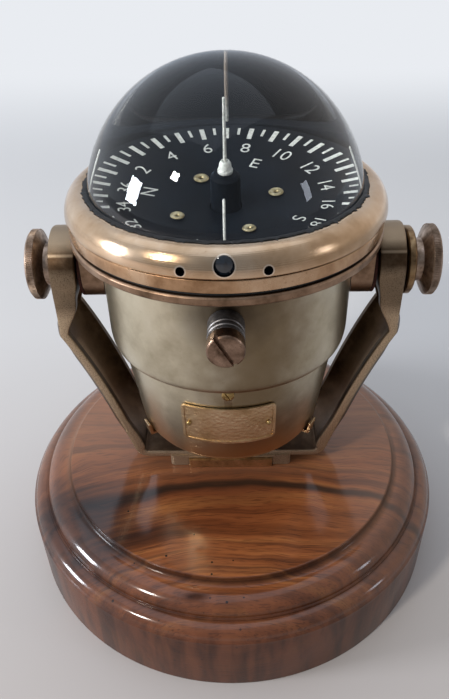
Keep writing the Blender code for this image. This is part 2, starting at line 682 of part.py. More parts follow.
def clamp_knob(name, turn, seat):
    """Knurled knob, hub and stud in one piece; `seat` is where its hub starts."""
    low = seat + HUB_L
    high = low + KNOB_RIM_T
    c = KNOB_CHAMFER
    stud_end = LUG_FACE_X - STUD_IN_LUG
    outline = [(0, stud_end), (STUD_R - STUD_CHAMFER, stud_end), (STUD_R, stud_end + STUD_CHAMFER),
               (STUD_R, seat), (HUB_R, seat), (HUB_R, low - HUB_CONE_L), (KNOB_R - c, low),
               (KNOB_R, low + c), (KNOB_R, high - c), (KNOB_R - c, high), (HUB_R, high),
               (HUB_R - HUB_STEP, high - KNOB_DISH), (0, high - KNOB_DISH)]
    return turned(name, outline, CAST_BRONZE, MEDIUM_SEGMENTS, (0, 0, AXIS_Z), turn)


# ================================================================= bowl
def upper_bowl():
    """The liquid chamber: wall, rounded shoulder, floor and the spigot under it."""
    floor_z = SEAM_Z + FLOOR_T
    shoulder = arc(SEAM_R, SEAM_Z + SHOULDER_H, BOWL_R - SEAM_R, SHOULDER_H, 0, -90, 3)
    outline = ([(BOWL_BORE_R, BOWL_TOP_Z), (BOWL_BORE_R, floor_z + FLOOR_FILLET),
                (BOWL_BORE_R - FLOOR_FILLET, floor_z), (FLOOR_OPENING_R, floor_z),
                (FLOOR_OPENING_R, SEAM_Z), (SPIGOT_BORE_R, SEAM_Z),
                (SPIGOT_BORE_R, SEAM_Z - SPIGOT_DEPTH),
                (SPIGOT_R, SEAM_Z - SPIGOT_DEPTH), (SPIGOT_R, SEAM_Z)]
               + shoulder[::-1] + [(BOWL_R, BOWL_TOP_Z)])
    bowl = turned_at("upper_bowl", SEAM_Z, outline, DULL_BRASS)
    for name, angle in CASING_SCREW_ANGLES:
        boolean(bowl, cutter(f"spigot_hole_{name}", circle(CASING_SCREW_SHANK_R + RUN, HOLE_SEGMENTS),
                             SPIGOT_BORE_R - 1, SPIGOT_R + 1, (0, 0, CASING_SCREW_Z),
                             outwards(angle)))
    boolean(bowl, cutter("filler_bore", circle(PLUG_SHANK_R + RUN), BOWL_BORE_R - 2, BOWL_R + 2,
                         (0, 0, FILLER_Z), ALONG_MINUS_Y))
    for name, turn in (("left", ALONG_MINUS_X), ("right", ALONG_X)):
        boolean(bowl, cutter(f"gimbal_seat_{name}", circle(PIN_HOLE_R, HOLE_SEGMENTS), BOWL_BORE_R - 1,
                             BOWL_R - PIN_BLIND, (0, 0, GIMBAL_Z), turn))
    return bowl


def lug_outline():
    """Half-round lug with straight sides up into the flange, seen along X."""
    lower = arc(0, 0, LUG_R, LUG_R, 180, 360, 12)
    top = FLANGE_Z + FLANGE_T * 0.5 - AXIS_Z
    return [(-LUG_R, top)] + lower + [(LUG_R, top)]


def flange_ring():
    """Bronze ring round the top of the bowl, with the two lugs that carry it."""
    e = FLANGE_EASING
    outline = [(BOWL_R - 4, FLANGE_Z), (FLANGE_R - e, FLANGE_Z), (FLANGE_R, FLANGE_Z + e),
               (FLANGE_R, FLANGE_TOP_Z - e), (FLANGE_R - e, FLANGE_TOP_Z),
               (BOWL_R - 4, FLANGE_TOP_Z)]
    flange = turned_at("bowl_flange", FLANGE_Z, outline, LUG_BRONZE)
    upright = Matrix.Rotation(math.radians(90), 4, "Z")
    for name, turn in (("left", ALONG_MINUS_X @ upright.inverted()), ("right", ALONG_X @ upright)):
        lug = cutter(f"lug_{name}", lug_outline(), BOWL_R - 6, LUG_FACE_X, (0, 0, AXIS_Z), turn)
        boolean(flange, lug, "UNION")
    boolean(flange, cutter("flange_bore", circle(BOWL_R + GAP, LARGE_SEGMENTS), AXIS_Z - LUG_R - 2,
                           FLANGE_TOP_Z + 2, (0, 0, 0), HALF_FACET))
    for name, turn in (("left", ALONG_MINUS_X), ("right", ALONG_X)):
        boolean(flange, cutter(f"stud_hole_{name}", circle(STUD_HOLE_R),
                               LUG_FACE_X - STUD_IN_LUG - GAP, LUG_FACE_X + 1, (0, 0, AXIS_Z), turn))
    return flange


def rim_gasket():
    inner, outer = BOWL_BORE_R + GASKET_LAP, FLANGE_R - GASKET_INSET
    outline = [(inner, GASKET_Z), (outer, GASKET_Z), (outer, GASKET_Z + GASKET_T - GAP),
               (inner, GASKET_Z + GASKET_T - GAP)]
    return turned_at("rim_gasket", GASKET_Z, outline, RUBBER)


def clamp_band():
    top = BAND_Z + BAND_H
    e = BAND_EASING
    outline = [(BAND_BORE_R, BAND_Z), (BAND_R - e, BAND_Z), (BAND_R, BAND_Z + e), (BAND_R, top - e),
               (BAND_R - e, top), (BAND_BORE_R, top)]
    return turned_at("clamp_band", BAND_Z, outline, ROSE_BRONZE)


def bezel():
    """Round-backed ring that holds the dome down; its skirt nests in the band."""
    bore = DOME_R + GAP
    skirt_r = BAND_BORE_R - GAP
    skirt_z = DOME_FLANGE_Z + DOME_FLANGE_T + GAP
    seat = BEZEL_TOP_Z - SEALANT_T - GAP
    lip = BEZEL_LIP_R + BEZEL_LIP_W
    back = arc(lip, BEZEL_Z + BEZEL_FOOT_H, BEZEL_BULGE_R - lip, BEZEL_H - BEZEL_FOOT_H, 0, 90, 5)
    outline = ([(bore, skirt_z), (skirt_r, skirt_z), (skirt_r, BEZEL_Z),
                (BEZEL_BULGE_R - BEZEL_FOOT_H, BEZEL_Z)]
               + back + [(BEZEL_LIP_R, BEZEL_TOP_Z - BEZEL_LIP_W / 2), (BEZEL_LIP_R, seat),
                         (bore, seat)])
    ring = turned_at("bezel", BEZEL_Z, outline, ROSE_BRONZE)
    boolean(ring, cutter("lamp_port", circle(PORT_R), -PORT_DEPTH, PORT_DEPTH,
                         (0, -port_reach(), PORT_Z), outwards(-90, PORT_TILT)))
    for name, side in (("left", -1), ("right", 1)):
        boolean(ring, cutter(f"hood_screw_{name}", circle(PORT_SCREW_R, HOLE_SEGMENTS),
                             BEZEL_BULGE_R - PORT_SCREW_DEPTH, BEZEL_BULGE_R + 3,
                             (0, 0, PORT_SCREW_Z), outwards(-90 + side * PORT_SCREW_ANGLE)))
    return ring


def port_reach():
    """Distance from the main axis, along the port, to the bezel's back."""
    lip = BEZEL_LIP_R + BEZEL_LIP_W
    rise = (PORT_Z - BEZEL_Z - BEZEL_FOOT_H) / (BEZEL_H - BEZEL_FOOT_H)
    return lip + (BEZEL_BULGE_R - lip) * math.sqrt(1 - rise ** 2)


def lamp_window():
    low = GAP - PORT_DEPTH
    outline = [(0, low), (PORT_R - GAP, low), (PORT_R - GAP, low + WINDOW_T), (0, low + WINDOW_T)]
    return turned("lamp_window", outline, BLACK, SMALL_SEGMENTS, (0, -port_reach(), PORT_Z),
                  outwards(-90, PORT_TILT))


def dome():
    """Clear dome: a half sphere, a short straight skirt and a clamped flange."""
    foot = DOME_FLANGE_Z
    outer = arc(0, DOME_Z, DOME_R, DOME_R, 0, 90, 7)
    inner = arc(0, DOME_Z, DOME_BORE_R, DOME_BORE_R, 90, 0, 5)
    outline = ([(DOME_BORE_R, foot), (DOME_FLANGE_R, foot), (DOME_FLANGE_R, foot + DOME_FLANGE_T),
                (DOME_R, foot + DOME_FLANGE_T)] + outer + inner)
    return turned_at("dome", DOME_Z, outline, CLEAR)


def dome_sealant():
    seat = BEZEL_TOP_Z - SEALANT_T
    reach = math.sqrt(DOME_R ** 2 - (seat - DOME_Z) ** 2) + GAP
    outer = BEZEL_LIP_R - GAP
    outline = [(reach, seat), (outer, seat), (outer, seat + SEALANT_T * SEALANT_SLOPE),
               (reach, seat + SEALANT_T)]
    return turned_at("dome_sealant", seat, outline, RUBBER, LARGE_SEGMENTS)


# ========================================================== lower casing
def casing_radius(z):
    return CASING_BOTTOM_R + CASING_SLOPE * (z - CASING_BOTTOM_Z)


def lower_casing():
    inner_top = casing_radius(CASING_TOP_Z) - CASING_WALL
    edge = arc(CASING_BOTTOM_R - CASING_EDGE_R, CASING_BOTTOM_Z + CASING_EDGE_R, CASING_EDGE_R,
               CASING_EDGE_R, -90, 0, 2)
    outline = [(CASING_BOTTOM_R - CASING_WALL, CASING_BOTTOM_Z)] + edge + [
        (CASING_TOP_R, CASING_TOP_Z), (inner_top, CASING_TOP_Z),
        (inner_top, SEAM_Z - SPIGOT_DEPTH - GAP)]
    casing = turned_at("lower_casing", CASING_BOTTOM_Z, outline, DULL_BRASS)
    for name, angle in CASING_SCREW_ANGLES:
        boolean(casing, cutter(f"casing_hole_{name}", circle(CASING_SCREW_SHANK_R + RUN, HOLE_SEGMENTS),
                               CASING_TOP_R - CASING_WALL - 2, CASING_TOP_R + 2,
                               (0, 0, CASING_SCREW_Z), outwards(angle)))
    for side in (-1, 1):
        boolean(casing, cutter(f"badge_hole_{side}", circle(BADGE_PIN_HOLE_R, HOLE_SEGMENTS),
                               badge_reach() - CASING_WALL - 3, badge_reach() + 3,
                               (side * BADGE_PIN_X, 0, BADGE_Z), ALONG_MINUS_Y))
    return casing


def casing_screws():
    seat = casing_radius(CASING_SCREW_Z) + GAP
    screws = []
    for name, angle in CASING_SCREW_ANGLES:
        turn = outwards(angle)
        place = Vector((0, 0, CASING_SCREW_Z)) + turn.to_3x3() @ Vector((0, 0, seat))
        screws.append(cheese_head_screw(f"casing_screw_{name}", place, turn, CASING_SCREW_SHANK_R,
                                        CASING_SCREW_R, CASING_SCREW_H,
                                        CASING_WALL + SPIGOT_T + GAP))
    return screws


def bottom_cover():
    """Spun cover that closes the casing, held by three sprung ears."""
    top = CASING_BOTTOM_Z - GAP
    low = top - COVER_T
    spigot = CASING_BOTTOM_R - CASING_WALL - GAP
    radius = CASING_BOTTOM_R - CASING_EDGE_R
    outline = [(0, low), (radius - COVER_EDGE, low), (radius, low + COVER_EDGE), (radius, top),
               (spigot, top),
               (spigot, top + COVER_SPIGOT), (spigot - COVER_SPIGOT, top), (0, top)]
    cover = turned_at("bottom_cover", low, outline, DULL_BRASS)
    for number, angle in enumerate(EAR_ANGLES):
        inner = CASING_BOTTOM_R + GAP
        ear = add(f"ear_{number}", extruded_mesh(f"ear_{number}", ear_outline(inner), -EAR_W / 2,
                                                 EAR_W / 2),
                  None, (0, 0, 0), Matrix.Rotation(math.radians(angle), 4, "Z") @ Matrix.Rotation(
                      math.radians(90), 4, "X"))
        ear.hide_render = True
        ear.display_type = "WIRE"
        boolean(cover, ear, "UNION")
    return cover


def ear_outline(inner):
    """Seen from the side: an arm out from the cover and a tab up beside the casing."""
    low = CASING_BOTTOM_Z - GAP - COVER_T + EAR_RISE
    lean = EAR_H * CASING_SLOPE + EAR_LEAN
    return [(inner - EAR_ROOT, low), (inner + EAR_T, low), (inner + EAR_T + lean, low + EAR_H + EAR_T),
            (inner + lean, low + EAR_H + EAR_T), (inner, low + EAR_T), (inner - EAR_ROOT, low + EAR_T)]


def badge_reach():
    """Distance from the main axis, towards the front, to the casing behind the pins."""
    return math.sqrt(casing_radius(BADGE_Z) ** 2 - BADGE_PIN_X ** 2)


def rolled_slab(name, half_w, half_h, corner, low, high):
    """A slab with rounded corners, rolled round the casing, from low to high above it."""
    steps = 12
    rings = []
    for i in range(steps + 1):
        x = half_w * (2 * i / steps - 1)
        inset = max(0.0, abs(x) - (half_w - corner))
        drop = corner - math.sqrt(max(corner ** 2 - inset ** 2, 0.0))
        ring = []
        for z, proud in ((BADGE_Z - half_h + drop, low), (BADGE_Z - half_h + drop, high),
                         (BADGE_Z + half_h - drop, high), (BADGE_Z + half_h - drop, low)):
            radius = casing_radius(z) + proud
            ring.append((x, -math.sqrt(radius ** 2 - x ** 2), z))
        rings.append(ring)
    return loft_mesh(name, rings)


def badge():
    """Blank plate, rolled to the casing: a raised border round a plain field."""
    face = GAP + BADGE_T
    plate = add("name_plate", rolled_slab("name_plate", BADGE_HALF_W, BADGE_H / 2, BADGE_CORNER_R,
                                          GAP, face), PLATE_BRASS)
    field = add("plate_field", rolled_slab("plate_field", BADGE_HALF_W - BADGE_BORDER,
                                           BADGE_H / 2 - BADGE_BORDER,
                                           BADGE_CORNER_R - BADGE_BORDER, face - BADGE_SUNK,
                                           face + 1), None)
    field.hide_render = True
    field.display_type = "WIRE"
    boolean(plate, field)
    for side in (-1, 1):
        boolean(plate, cutter(f"plate_pin_hole_{side}", circle(BADGE_PIN_HOLE_R, HOLE_SEGMENTS),
                              badge_reach() - 3, badge_reach() + 3,
                              (side * BADGE_PIN_X, 0, BADGE_Z), ALONG_MINUS_Y))
    return plate


def badge_pins():
    pins = []
    radius = casing_radius(BADGE_Z) + GAP + BADGE_T - BADGE_SUNK
    for name, side in (("left", -1), ("right", 1)):
        seat = math.sqrt(radius ** 2 - (BADGE_PIN_X - BADGE_PIN_R) ** 2) + GAP
        tail = seat - BADGE_PIN_L
        outline = [(0, tail), (BADGE_PIN_SHANK_R, tail), (BADGE_PIN_SHANK_R, seat),
                   (BADGE_PIN_R, seat)] + arc(0, seat, BADGE_PIN_R, BADGE_PIN_H, 25, 90, 3)
        pins.append(turned(f"plate_pin_{name}", outline, PLATE_BRASS, 12,
                           (side * BADGE_PIN_X, 0, BADGE_Z), ALONG_MINUS_Y))
    return pins


# ========================================================== filler plug
def filler_boss():
    """Short turned boss on the front of the chamber."""
    bore, root = PLUG_SHANK_R + RUN, BOWL_R - FILLER_BOSS_ROOT
    outline = [(bore, root), (FILLER_R, root), (FILLER_R, FILLER_BOSS_Y), (bore, FILLER_BOSS_Y)]
    boss = turned("filler_boss", outline, LUG_BRONZE, MEDIUM_SEGMENTS, (0, 0, FILLER_Z), ALONG_MINUS_Y)
    boolean(boss, cutter("boss_saddle", circle(BOWL_R + GAP, LARGE_SEGMENTS),
                         FILLER_Z - 2 * FILLER_R, FILLER_Z + 2 * FILLER_R))
    return boss


def filler_plug():
    seat = FILLER_BOSS_Y + GAP
    face = seat + PLUG_HEAD_T
    tail = seat - PLUG_SHANK_L
    e = PLUG_EASING
    outline = [(0, tail), (PLUG_SHANK_R - e, tail), (PLUG_SHANK_R, tail + e), (PLUG_SHANK_R, seat),
               (FILLER_R, seat), (FILLER_R, face - e), (FILLER_R - e, face), (0, face)]
    plug = turned("filler_plug", outline, LUG_BRONZE, MEDIUM_SEGMENTS, (0, 0, FILLER_Z), ALONG_MINUS_Y)
    turn = ALONG_MINUS_Y @ Matrix.Rotation(math.radians(90 + PLUG_SLOT_ANGLE), 4, "Z")
    boolean(plug, cutter("plug_slot", rectangle(FILLER_R + 1, PLUG_SLOT_W / 2), face - PLUG_SLOT_D,
                         face + 1, (0, 0, FILLER_Z), turn))
    return plug


# ============================================================ diaphragm
def diaphragm():
    """Thin corrugated disc that takes up the liquid's swelling."""
    steps = 4 * DIAPHRAGM_RIPPLES
    rim_z = SEAM_Z - GAP - DIAPHRAGM_T / 2
    span = CLAMP_RING_BORE_R - DIAPHRAGM_FLAT
    half_t = DIAPHRAGM_T / 2
    wave = []
    for i in range(steps + 1):
        phase = math.pi * DIAPHRAGM_RIPPLES * i / steps
        wave.append((span * i / steps, rim_z - DIAPHRAGM_WAVE * math.sin(phase) ** 2))
    top = [(r, z + half_t) for r, z in wave] + [(DIAPHRAGM_R, rim_z + half_t)]
    low = [(DIAPHRAGM_R, rim_z - half_t)] + [(r, z - half_t) for r, z in wave[::-1]]
    return turned_at("expansion_diaphragm", rim_z, low[::-1] + top[::-1], PLATE_BRASS, MEDIUM_SEGMENTS)


def diaphragm_ring():
    top = SEAM_Z - 2 * GAP - DIAPHRAGM_T
    low = top - CLAMP_RING_T
    outer = SPIGOT_BORE_R - GAP
    outline = [(CLAMP_RING_BORE_R, low), (outer, low), (outer, top), (CLAMP_RING_BORE_R, top)]
    return turned_at("diaphragm_ring", low, outline, DULL_BRASS, MEDIUM_SEGMENTS)


# ================================================================ gimbal
def gimbal_ring():
    half = RING_H / 2
    outline = [(RING_BORE_R, GIMBAL_Z - half), (RING_R, GIMBAL_Z - half), (RING_R, GIMBAL_Z + half),
               (RING_BORE_R, GIMBAL_Z + half)]
    ring = turned_at("gimbal_ring", GIMBAL_Z, outline, DULL_BRASS)
    for name, turn in (("left", ALONG_MINUS_X), ("right", ALONG_X), ("front", ALONG_MINUS_Y),
                       ("rear", ALONG_Y)):
        boolean(ring, cutter(f"ring_hole_{name}", circle(PIN_HOLE_R, HOLE_SEGMENTS), RING_BORE_R - 1,
                             RING_R + 1, (0, 0, GIMBAL_Z), turn))
    return ring


def gimbal_pin(name, turn, low, high):
    outline = [(0, low), (PIN_R, low), (PIN_R, high), (0, high)]
    return turned(name, outline, STEEL, 12, (0, 0, GIMBAL_Z), turn)


def lubber_ring():
    """Black ring round the card, with an ear down to each of its own pivots."""
    outline = [(FRAME_BORE_R, FRAME_BOTTOM_Z), (FRAME_R, FRAME_BOTTOM_Z), (FRAME_R, FRAME_TOP_Z),
               (FRAME_BORE_R, FRAME_TOP_Z)]
    ring = turned_at("lubber_ring", FRAME_BOTTOM_Z, outline, BLACK)
    for name, turn, angle in (("front", ALONG_MINUS_Y, -90), ("rear", ALONG_Y, 90)):
        hanger = add(f"hanger_{name}",
                     extruded_mesh(f"hanger_{name}", hanger_outline(), FRAME_BORE_R + HANGER_INSET,
                                   FRAME_R - HANGER_INSET),
                     None, (0, 0, GIMBAL_Z), outwards(angle))
        hanger.hide_render = True
        hanger.display_type = "WIRE"
        boolean(ring, hanger, "UNION")
        boolean(ring, cutter(f"hanger_hole_{name}", circle(PIN_HOLE_R, HOLE_SEGMENTS), FRAME_BORE_R - 1,
                             FRAME_R + 1, (0, 0, GIMBAL_Z), turn))
    for name, angle in lubber_places():
        seat = cutter(f"lubber_hole_{name}", circle(LUBBER_PIN_R + RUN, HOLE_SEGMENTS),
                      FRAME_TOP_Z - LUBBER_PIN_SEAT - GAP, FRAME_TOP_Z + 1, lubber_xy(angle))
        boolean(ring, seat)
    return ring


def hanger_outline():
    half = HANGER_W / 2
    top = FRAME_BOTTOM_RISE + HANGER_LAP
    return [(half, top), (-half, top)] + arc(0, 0, half, half, 180, 360, 8)


def lubber_places():
    return (("front", -90), ("right", 0), ("rear", 90), ("left", 180))


def lubber_xy(angle):
    a = math.radians(angle)
    return (FRAME_MIDDLE_R * math.cos(a), FRAME_MIDDLE_R * math.sin(a), 0)


def lubber_pins():
    """Wires, upright in the ring and bent inwards above it."""
    thin, top = LUBBER_PIN_R * 0.4, LUBBER_PIN_L - PIN_POINT
    spine = [(0.0, -LUBBER_PIN_SEAT, LUBBER_PIN_R), (0.0, GAP, LUBBER_PIN_R),
             (-LUBBER_PIN_LEAN, top, LUBBER_PIN_R), (-LUBBER_PIN_LEAN, LUBBER_PIN_L, thin)]
    rings = [[(x + u, v, z) for u, v in circle(radius, HOLE_SEGMENTS)] for x, z, radius in spine]
    pins = []
    for name, angle in lubber_places():
        x, y, _ = lubber_xy(angle)
        pins.append(add(f"lubber_pin_{name}", loft_mesh(f"lubber_pin_{name}", rings), WHITE,
                        (x, y, FRAME_TOP_Z), Matrix.Rotation(math.radians(angle), 4, "Z")))
    return pins


def stirrup():
    """Strap under the card, from side to side of the lubber ring."""
    radius = FRAME_MIDDLE_R
    top = FRAME_BOTTOM_Z - GAP
    half_w, half_t = STIRRUP_W / 2, STIRRUP_T / 2
    rings = []
    steps = 16
    for i in range(steps + 1):
        a = math.radians(180 + 180 * i / steps)
        x, z = radius * math.cos(a), top + STIRRUP_DEPTH * math.sin(a)
        normal = Vector((math.cos(a) / radius, math.sin(a) / STIRRUP_DEPTH)).normalized() * half_t
        rings.append([(x - normal.x, -half_w, z - normal.y), (x + normal.x, -half_w, z + normal.y),
                      (x + normal.x, half_w, z + normal.y), (x - normal.x, half_w, z - normal.y)])
    strap = add("card_stirrup", loft_mesh("card_stirrup", rings), BLACK)
    boolean(strap, cutter("post_hole", circle(POST_HOLE_R, SMALL_SEGMENTS),
                          top - STIRRUP_DEPTH - 2 * STIRRUP_T, top - STIRRUP_DEPTH + 2 * STIRRUP_T))
    return strap


def pivot_post():
    """Stepped post with a hard point; its tail passes the strap into the weight."""
    seat = FRAME_BOTTOM_Z - STIRRUP_DEPTH + STIRRUP_T / 2
    tail = seat - STIRRUP_T - 2 * GAP - POST_TAIL_IN_WEIGHT
    outline = [(0, tail), (POST_TAIL_R, tail), (POST_TAIL_R, seat), (POST_COLLAR_R, seat),
               (POST_COLLAR_R, seat + POST_COLLAR_H), (POST_R, seat + POST_SHOULDER_H),
               (POST_R, POST_TIP_Z - POST_POINT_L), (POST_NECK_R, POST_TIP_Z - POST_NECK_L),
               (0, POST_TIP_Z)]
    return turned("pivot_post", outline, STEEL, 16)


def ballast_weight():
    top = FRAME_BOTTOM_Z - STIRRUP_DEPTH - STIRRUP_T / 2 - 2 * GAP
    low = top - WEIGHT_H
    pocket = top - POST_TAIL_IN_WEIGHT - GAP
    outline = [(0, low), (WEIGHT_R * WEIGHT_WAIST, low), (WEIGHT_R, low + WEIGHT_H * WEIGHT_WAIST),
               (WEIGHT_R, top - 2), (WEIGHT_R - 1, top - 1), (POST_COLLAR_R + 1, top),
               (POST_HOLE_R, top), (POST_HOLE_R, pocket), (0, pocket)]
    return turned_at("ballast_weight", low, outline, LEAD, MEDIUM_SEGMENTS)


# ================================================================== card
def card_frame():
    """Local Z is the card's own axis, local +Y its north, local 0 its pivot point."""
    return Matrix.Rotation(math.radians(CARD_TILT), 4, "X") @ Matrix.Rotation(
        math.radians(CARD_HEADING), 4, "Z")


def on_card(name, outline, finish, segments, x=0.0, y=0.0, lay=None):
    turn = card_frame()
    place = Vector((0, 0, CARD_Z)) + turn.to_3x3() @ Vector((x, y, 0))
    return turned(name, outline, finish, segments, place, turn @ lay if lay else turn)


def card_disc():
    hub = CARD_HUB_R
    outline = [(hub, 0), (CARD_R, 0), (CARD_R, CARD_T), (hub, CARD_T)]
    disc = on_card("compass_card", outline, BLACK, LARGE_SEGMENTS)
    for x, y, name in eyelet_places():
        turn = card_frame()
        place = Vector((0, 0, CARD_Z)) + turn.to_3x3() @ Vector((x, y, 0))
        boolean(disc, cutter(f"eyelet_hole_{name}", circle(EYELET_HOLE_R, HOLE_SEGMENTS), -1,
                             CARD_T + 1, place, turn))
    return disc


def eyelet_places():
    return [(sx * MAGNET_X, sy * EYELET_Y, f"{ns}{ew}") for ns, sy in (("n", 1), ("s", -1))
            for ew, sx in (("w", -1), ("e", 1))]


def card_hub():
    """Black bush in the card's centre, hollow underneath for the jewel."""
    jewel_top = JEWEL_H + GAP
    bore = JEWEL_R + GAP
    inner = CARD_HUB_R - GAP
    flange = CARD_HUB_R + HUB_FLANGE_W
    under = -GAP
    outline = [(bore, under - HUB_FLANGE_W), (flange, under - HUB_FLANGE_W), (flange, under),
               (inner, under), (inner, HUB_TOP - HUB_STEP), (inner - HUB_STEP, HUB_TOP),
               (0, HUB_TOP), (0, jewel_top), (bore, jewel_top)]
    return on_card("card_hub", outline, BLACK, 14)


def jewel_cup():
    """Cupped bearing stone. Its hollow rests on the pivot's point."""
    outline = [(0, GAP * 0.6), (JEWEL_CUP_R, -JEWEL_CUP_R / 2), (JEWEL_SKIRT, -JEWEL_SKIRT),
               (JEWEL_R, -JEWEL_SKIRT), (JEWEL_R, JEWEL_H), (0, JEWEL_H)]
    return on_card("jewel_cup", outline, CLEAR, 12)


def card_float():
    """Soldered copper float, open in the middle for the post."""
    top = -GAP * 2 - HUB_FLANGE_W
    low = top - FLOAT_H
    outline = [(FLOAT_BORE_R, low), (FLOAT_R - FLOAT_CONE, low), (FLOAT_R, low + FLOAT_CONE),
               (FLOAT_R, top - FLOAT_EASING), (FLOAT_R - FLOAT_EASING, top), (FLOAT_BORE_R, top)]
    return on_card("card_float", outline, PLATE_BRASS, MEDIUM_SEGMENTS)


def card_magnets():
    magnets = []
    for name, side in (("west", -1), ("east", 1)):
        half = MAGNET_L / 2
        outline = [(0, -half), (MAGNET_R, -half), (MAGNET_R, half), (0, half)]
        drop = Matrix.Translation(Vector((0, 0, -MAGNET_R - GAP)) * MM)
        bar = on_card(f"card_magnet_{name}", outline, STEEL, 12, side * MAGNET_X, 0,
                      drop @ ALONG_Y)
        for sy, end in ((1, "north"), (-1, "south")):
            turn = card_frame()
            place = Vector((0, 0, CARD_Z)) + turn.to_3x3() @ Vector((side * MAGNET_X, sy * EYELET_Y, 0))
            boolean(bar, cutter(f"rivet_hole_{name}_{end}", circle(EYELET_HOLE_R, HOLE_SEGMENTS),
                                -MAGNET_R * 2 - 1, 1, place, turn))
        magnets.append(bar)
    return magnets


def eyelets():
    """Brass rivets that hold the magnets; their heads show on the card."""
    shank, tail = EYELET_SHANK_R, -EYELET_IN_MAGNET
    seat = CARD_T + GAP
    outline = [(0, tail), (shank, tail), (shank, seat), (EYELET_R, seat),
               (EYELET_R, seat + EYELET_H * 0.5), (EYELET_R * 0.7, seat + EYELET_H),
               (0, seat + EYELET_H)]
    return [on_card(f"card_rivet_{name}", outline, PLATE_BRASS, 12, x, y)
            for x, y, name in eyelet_places()]


def hub_finial():
    seat = HUB_TOP + GAP
    shoulder = seat + FINIAL_H * FINIAL_SHOULDER
    outline = ([(SHADOW_PIN_R + RUN, seat), (FINIAL_R, seat), (FINIAL_R, shoulder)]
               + arc(0, shoulder, FINIAL_R, seat + FINIAL_H - shoulder, 25, 65, 2)
               + [(SHADOW_PIN_R + RUN, seat + FINIAL_H)])
    return on_card("hub_finial", outline, WHITE, 14)


def shadow_pin():
    low = HUB_TOP + GAP
    high = low + SHADOW_PIN_L
    outline = [(0, low), (SHADOW_PIN_R, low), (SHADOW_PIN_R, high - PIN_POINT), (0, high)]
    return on_card("shadow_pin", outline, WHITE, HOLE_SEGMENTS)


# ============================================================== assembly
def build():
    clear_scene()
    wood_plinth()
    slide_plate()
    yoke_bracket()
    foot_screws()
    friction_washer("left_friction_washer", ALONG_MINUS_X)
    friction_washer("right_friction_washer", ALONG_X)
    lock_disc()

    bowl = [upper_bowl(), flange_ring(), rim_gasket(), clamp_band(), bezel(), lamp_window(), dome(),
            dome_sealant(), lower_casing(), bottom_cover(), badge(), filler_boss(), filler_plug(),
            diaphragm(), diaphragm_ring()]
    bowl += casing_screws() + badge_pins()
    bore_end = BOWL_R - PIN_BLIND - GAP
    bowl += [gimbal_pin("bowl_pivot_left", ALONG_MINUS_X, RING_BORE_R, bore_end),
             gimbal_pin("bowl_pivot_right", ALONG_X, RING_BORE_R, bore_end)]
    tilt = joint_axis("bowl_tilt_axis", (0, 0, AXIS_Z), bowl)

    left = clamp_knob("left_clamp_knob", ALONG_MINUS_X, BOSS_FACE_X + GAP)
    right = clamp_knob("right_clamp_knob", ALONG_X, BOSS_FACE_X + LOCK_COLLAR_T + LOCK_DISC_T + 2 * GAP)
    left_axis = joint_axis("left_knob_axis", (0, 0, AXIS_Z), [left])
    right_axis = joint_axis("right_knob_axis", (0, 0, AXIS_Z), [right])

    ring = [gimbal_ring()]
    ring += [gimbal_pin("frame_pivot_front", ALONG_MINUS_Y, FRAME_BORE_R - GAP, RING_R),
             gimbal_pin("frame_pivot_rear", ALONG_Y, FRAME_BORE_R - GAP, RING_R)]
    pitch_axis = joint_axis("gimbal_pitch_axis", (0, 0, GIMBAL_Z), ring)

    frame = [lubber_ring(), stirrup(), pivot_post(), ballast_weight()] + lubber_pins()
    roll_axis = joint_axis("gimbal_roll_axis", (0, 0, GIMBAL_Z), frame)

    card = [card_disc(), card_hub(), jewel_cup(), card_float(), hub_finial(), shadow_pin()]
    card += card_magnets() + eyelets()
    card_axis = joint_axis("card_axis", (0, 0, CARD_Z), card)

    for child, parent in ((left_axis, tilt), (right_axis, tilt), (pitch_axis, tilt),
                          (roll_axis, pitch_axis), (card_axis, roll_axis)):
        child.parent = parent
        child.matrix_parent_inverse = parent.matrix_world.inverted()


build()
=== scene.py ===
"""The looks of a liquid-filled binnacle compass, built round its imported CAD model."""

import math
from functools import partial

import bmesh
import bpy
from mathutils import Matrix, Vector, kdtree, noise


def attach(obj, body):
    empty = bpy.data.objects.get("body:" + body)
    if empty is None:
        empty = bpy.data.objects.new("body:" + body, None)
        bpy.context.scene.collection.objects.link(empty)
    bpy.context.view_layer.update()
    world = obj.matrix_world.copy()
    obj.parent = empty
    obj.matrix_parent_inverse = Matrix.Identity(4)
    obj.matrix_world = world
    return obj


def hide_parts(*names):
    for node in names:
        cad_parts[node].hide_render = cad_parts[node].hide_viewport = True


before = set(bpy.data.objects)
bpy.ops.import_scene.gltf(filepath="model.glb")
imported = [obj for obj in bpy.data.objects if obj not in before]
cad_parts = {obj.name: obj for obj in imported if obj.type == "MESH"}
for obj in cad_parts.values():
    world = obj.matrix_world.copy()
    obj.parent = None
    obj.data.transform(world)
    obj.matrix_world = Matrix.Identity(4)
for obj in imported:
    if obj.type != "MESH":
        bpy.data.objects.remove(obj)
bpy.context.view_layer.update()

# ------------------------------------------------------------------ camera and room
# The camera looks down at the front of the compass from a little above it. Two lamps stand
# to the left, as a window and a ceiling lamp do, a weak one to the right, and a wide soft
# panel hangs overhead. The plain pale floor turns into a nearly white wall at the back.
MM = 0.001


def linear(code):
    """An sRGB hex colour as the linear colour that a shader takes."""
    parts = [int(code[i:i + 2], 16) / 255 for i in (1, 3, 5)]
    return [c / 12.92 if c <= 0.04045 else ((c + 0.055) / 1.055) ** 2.4 for c in parts] + [1.0]


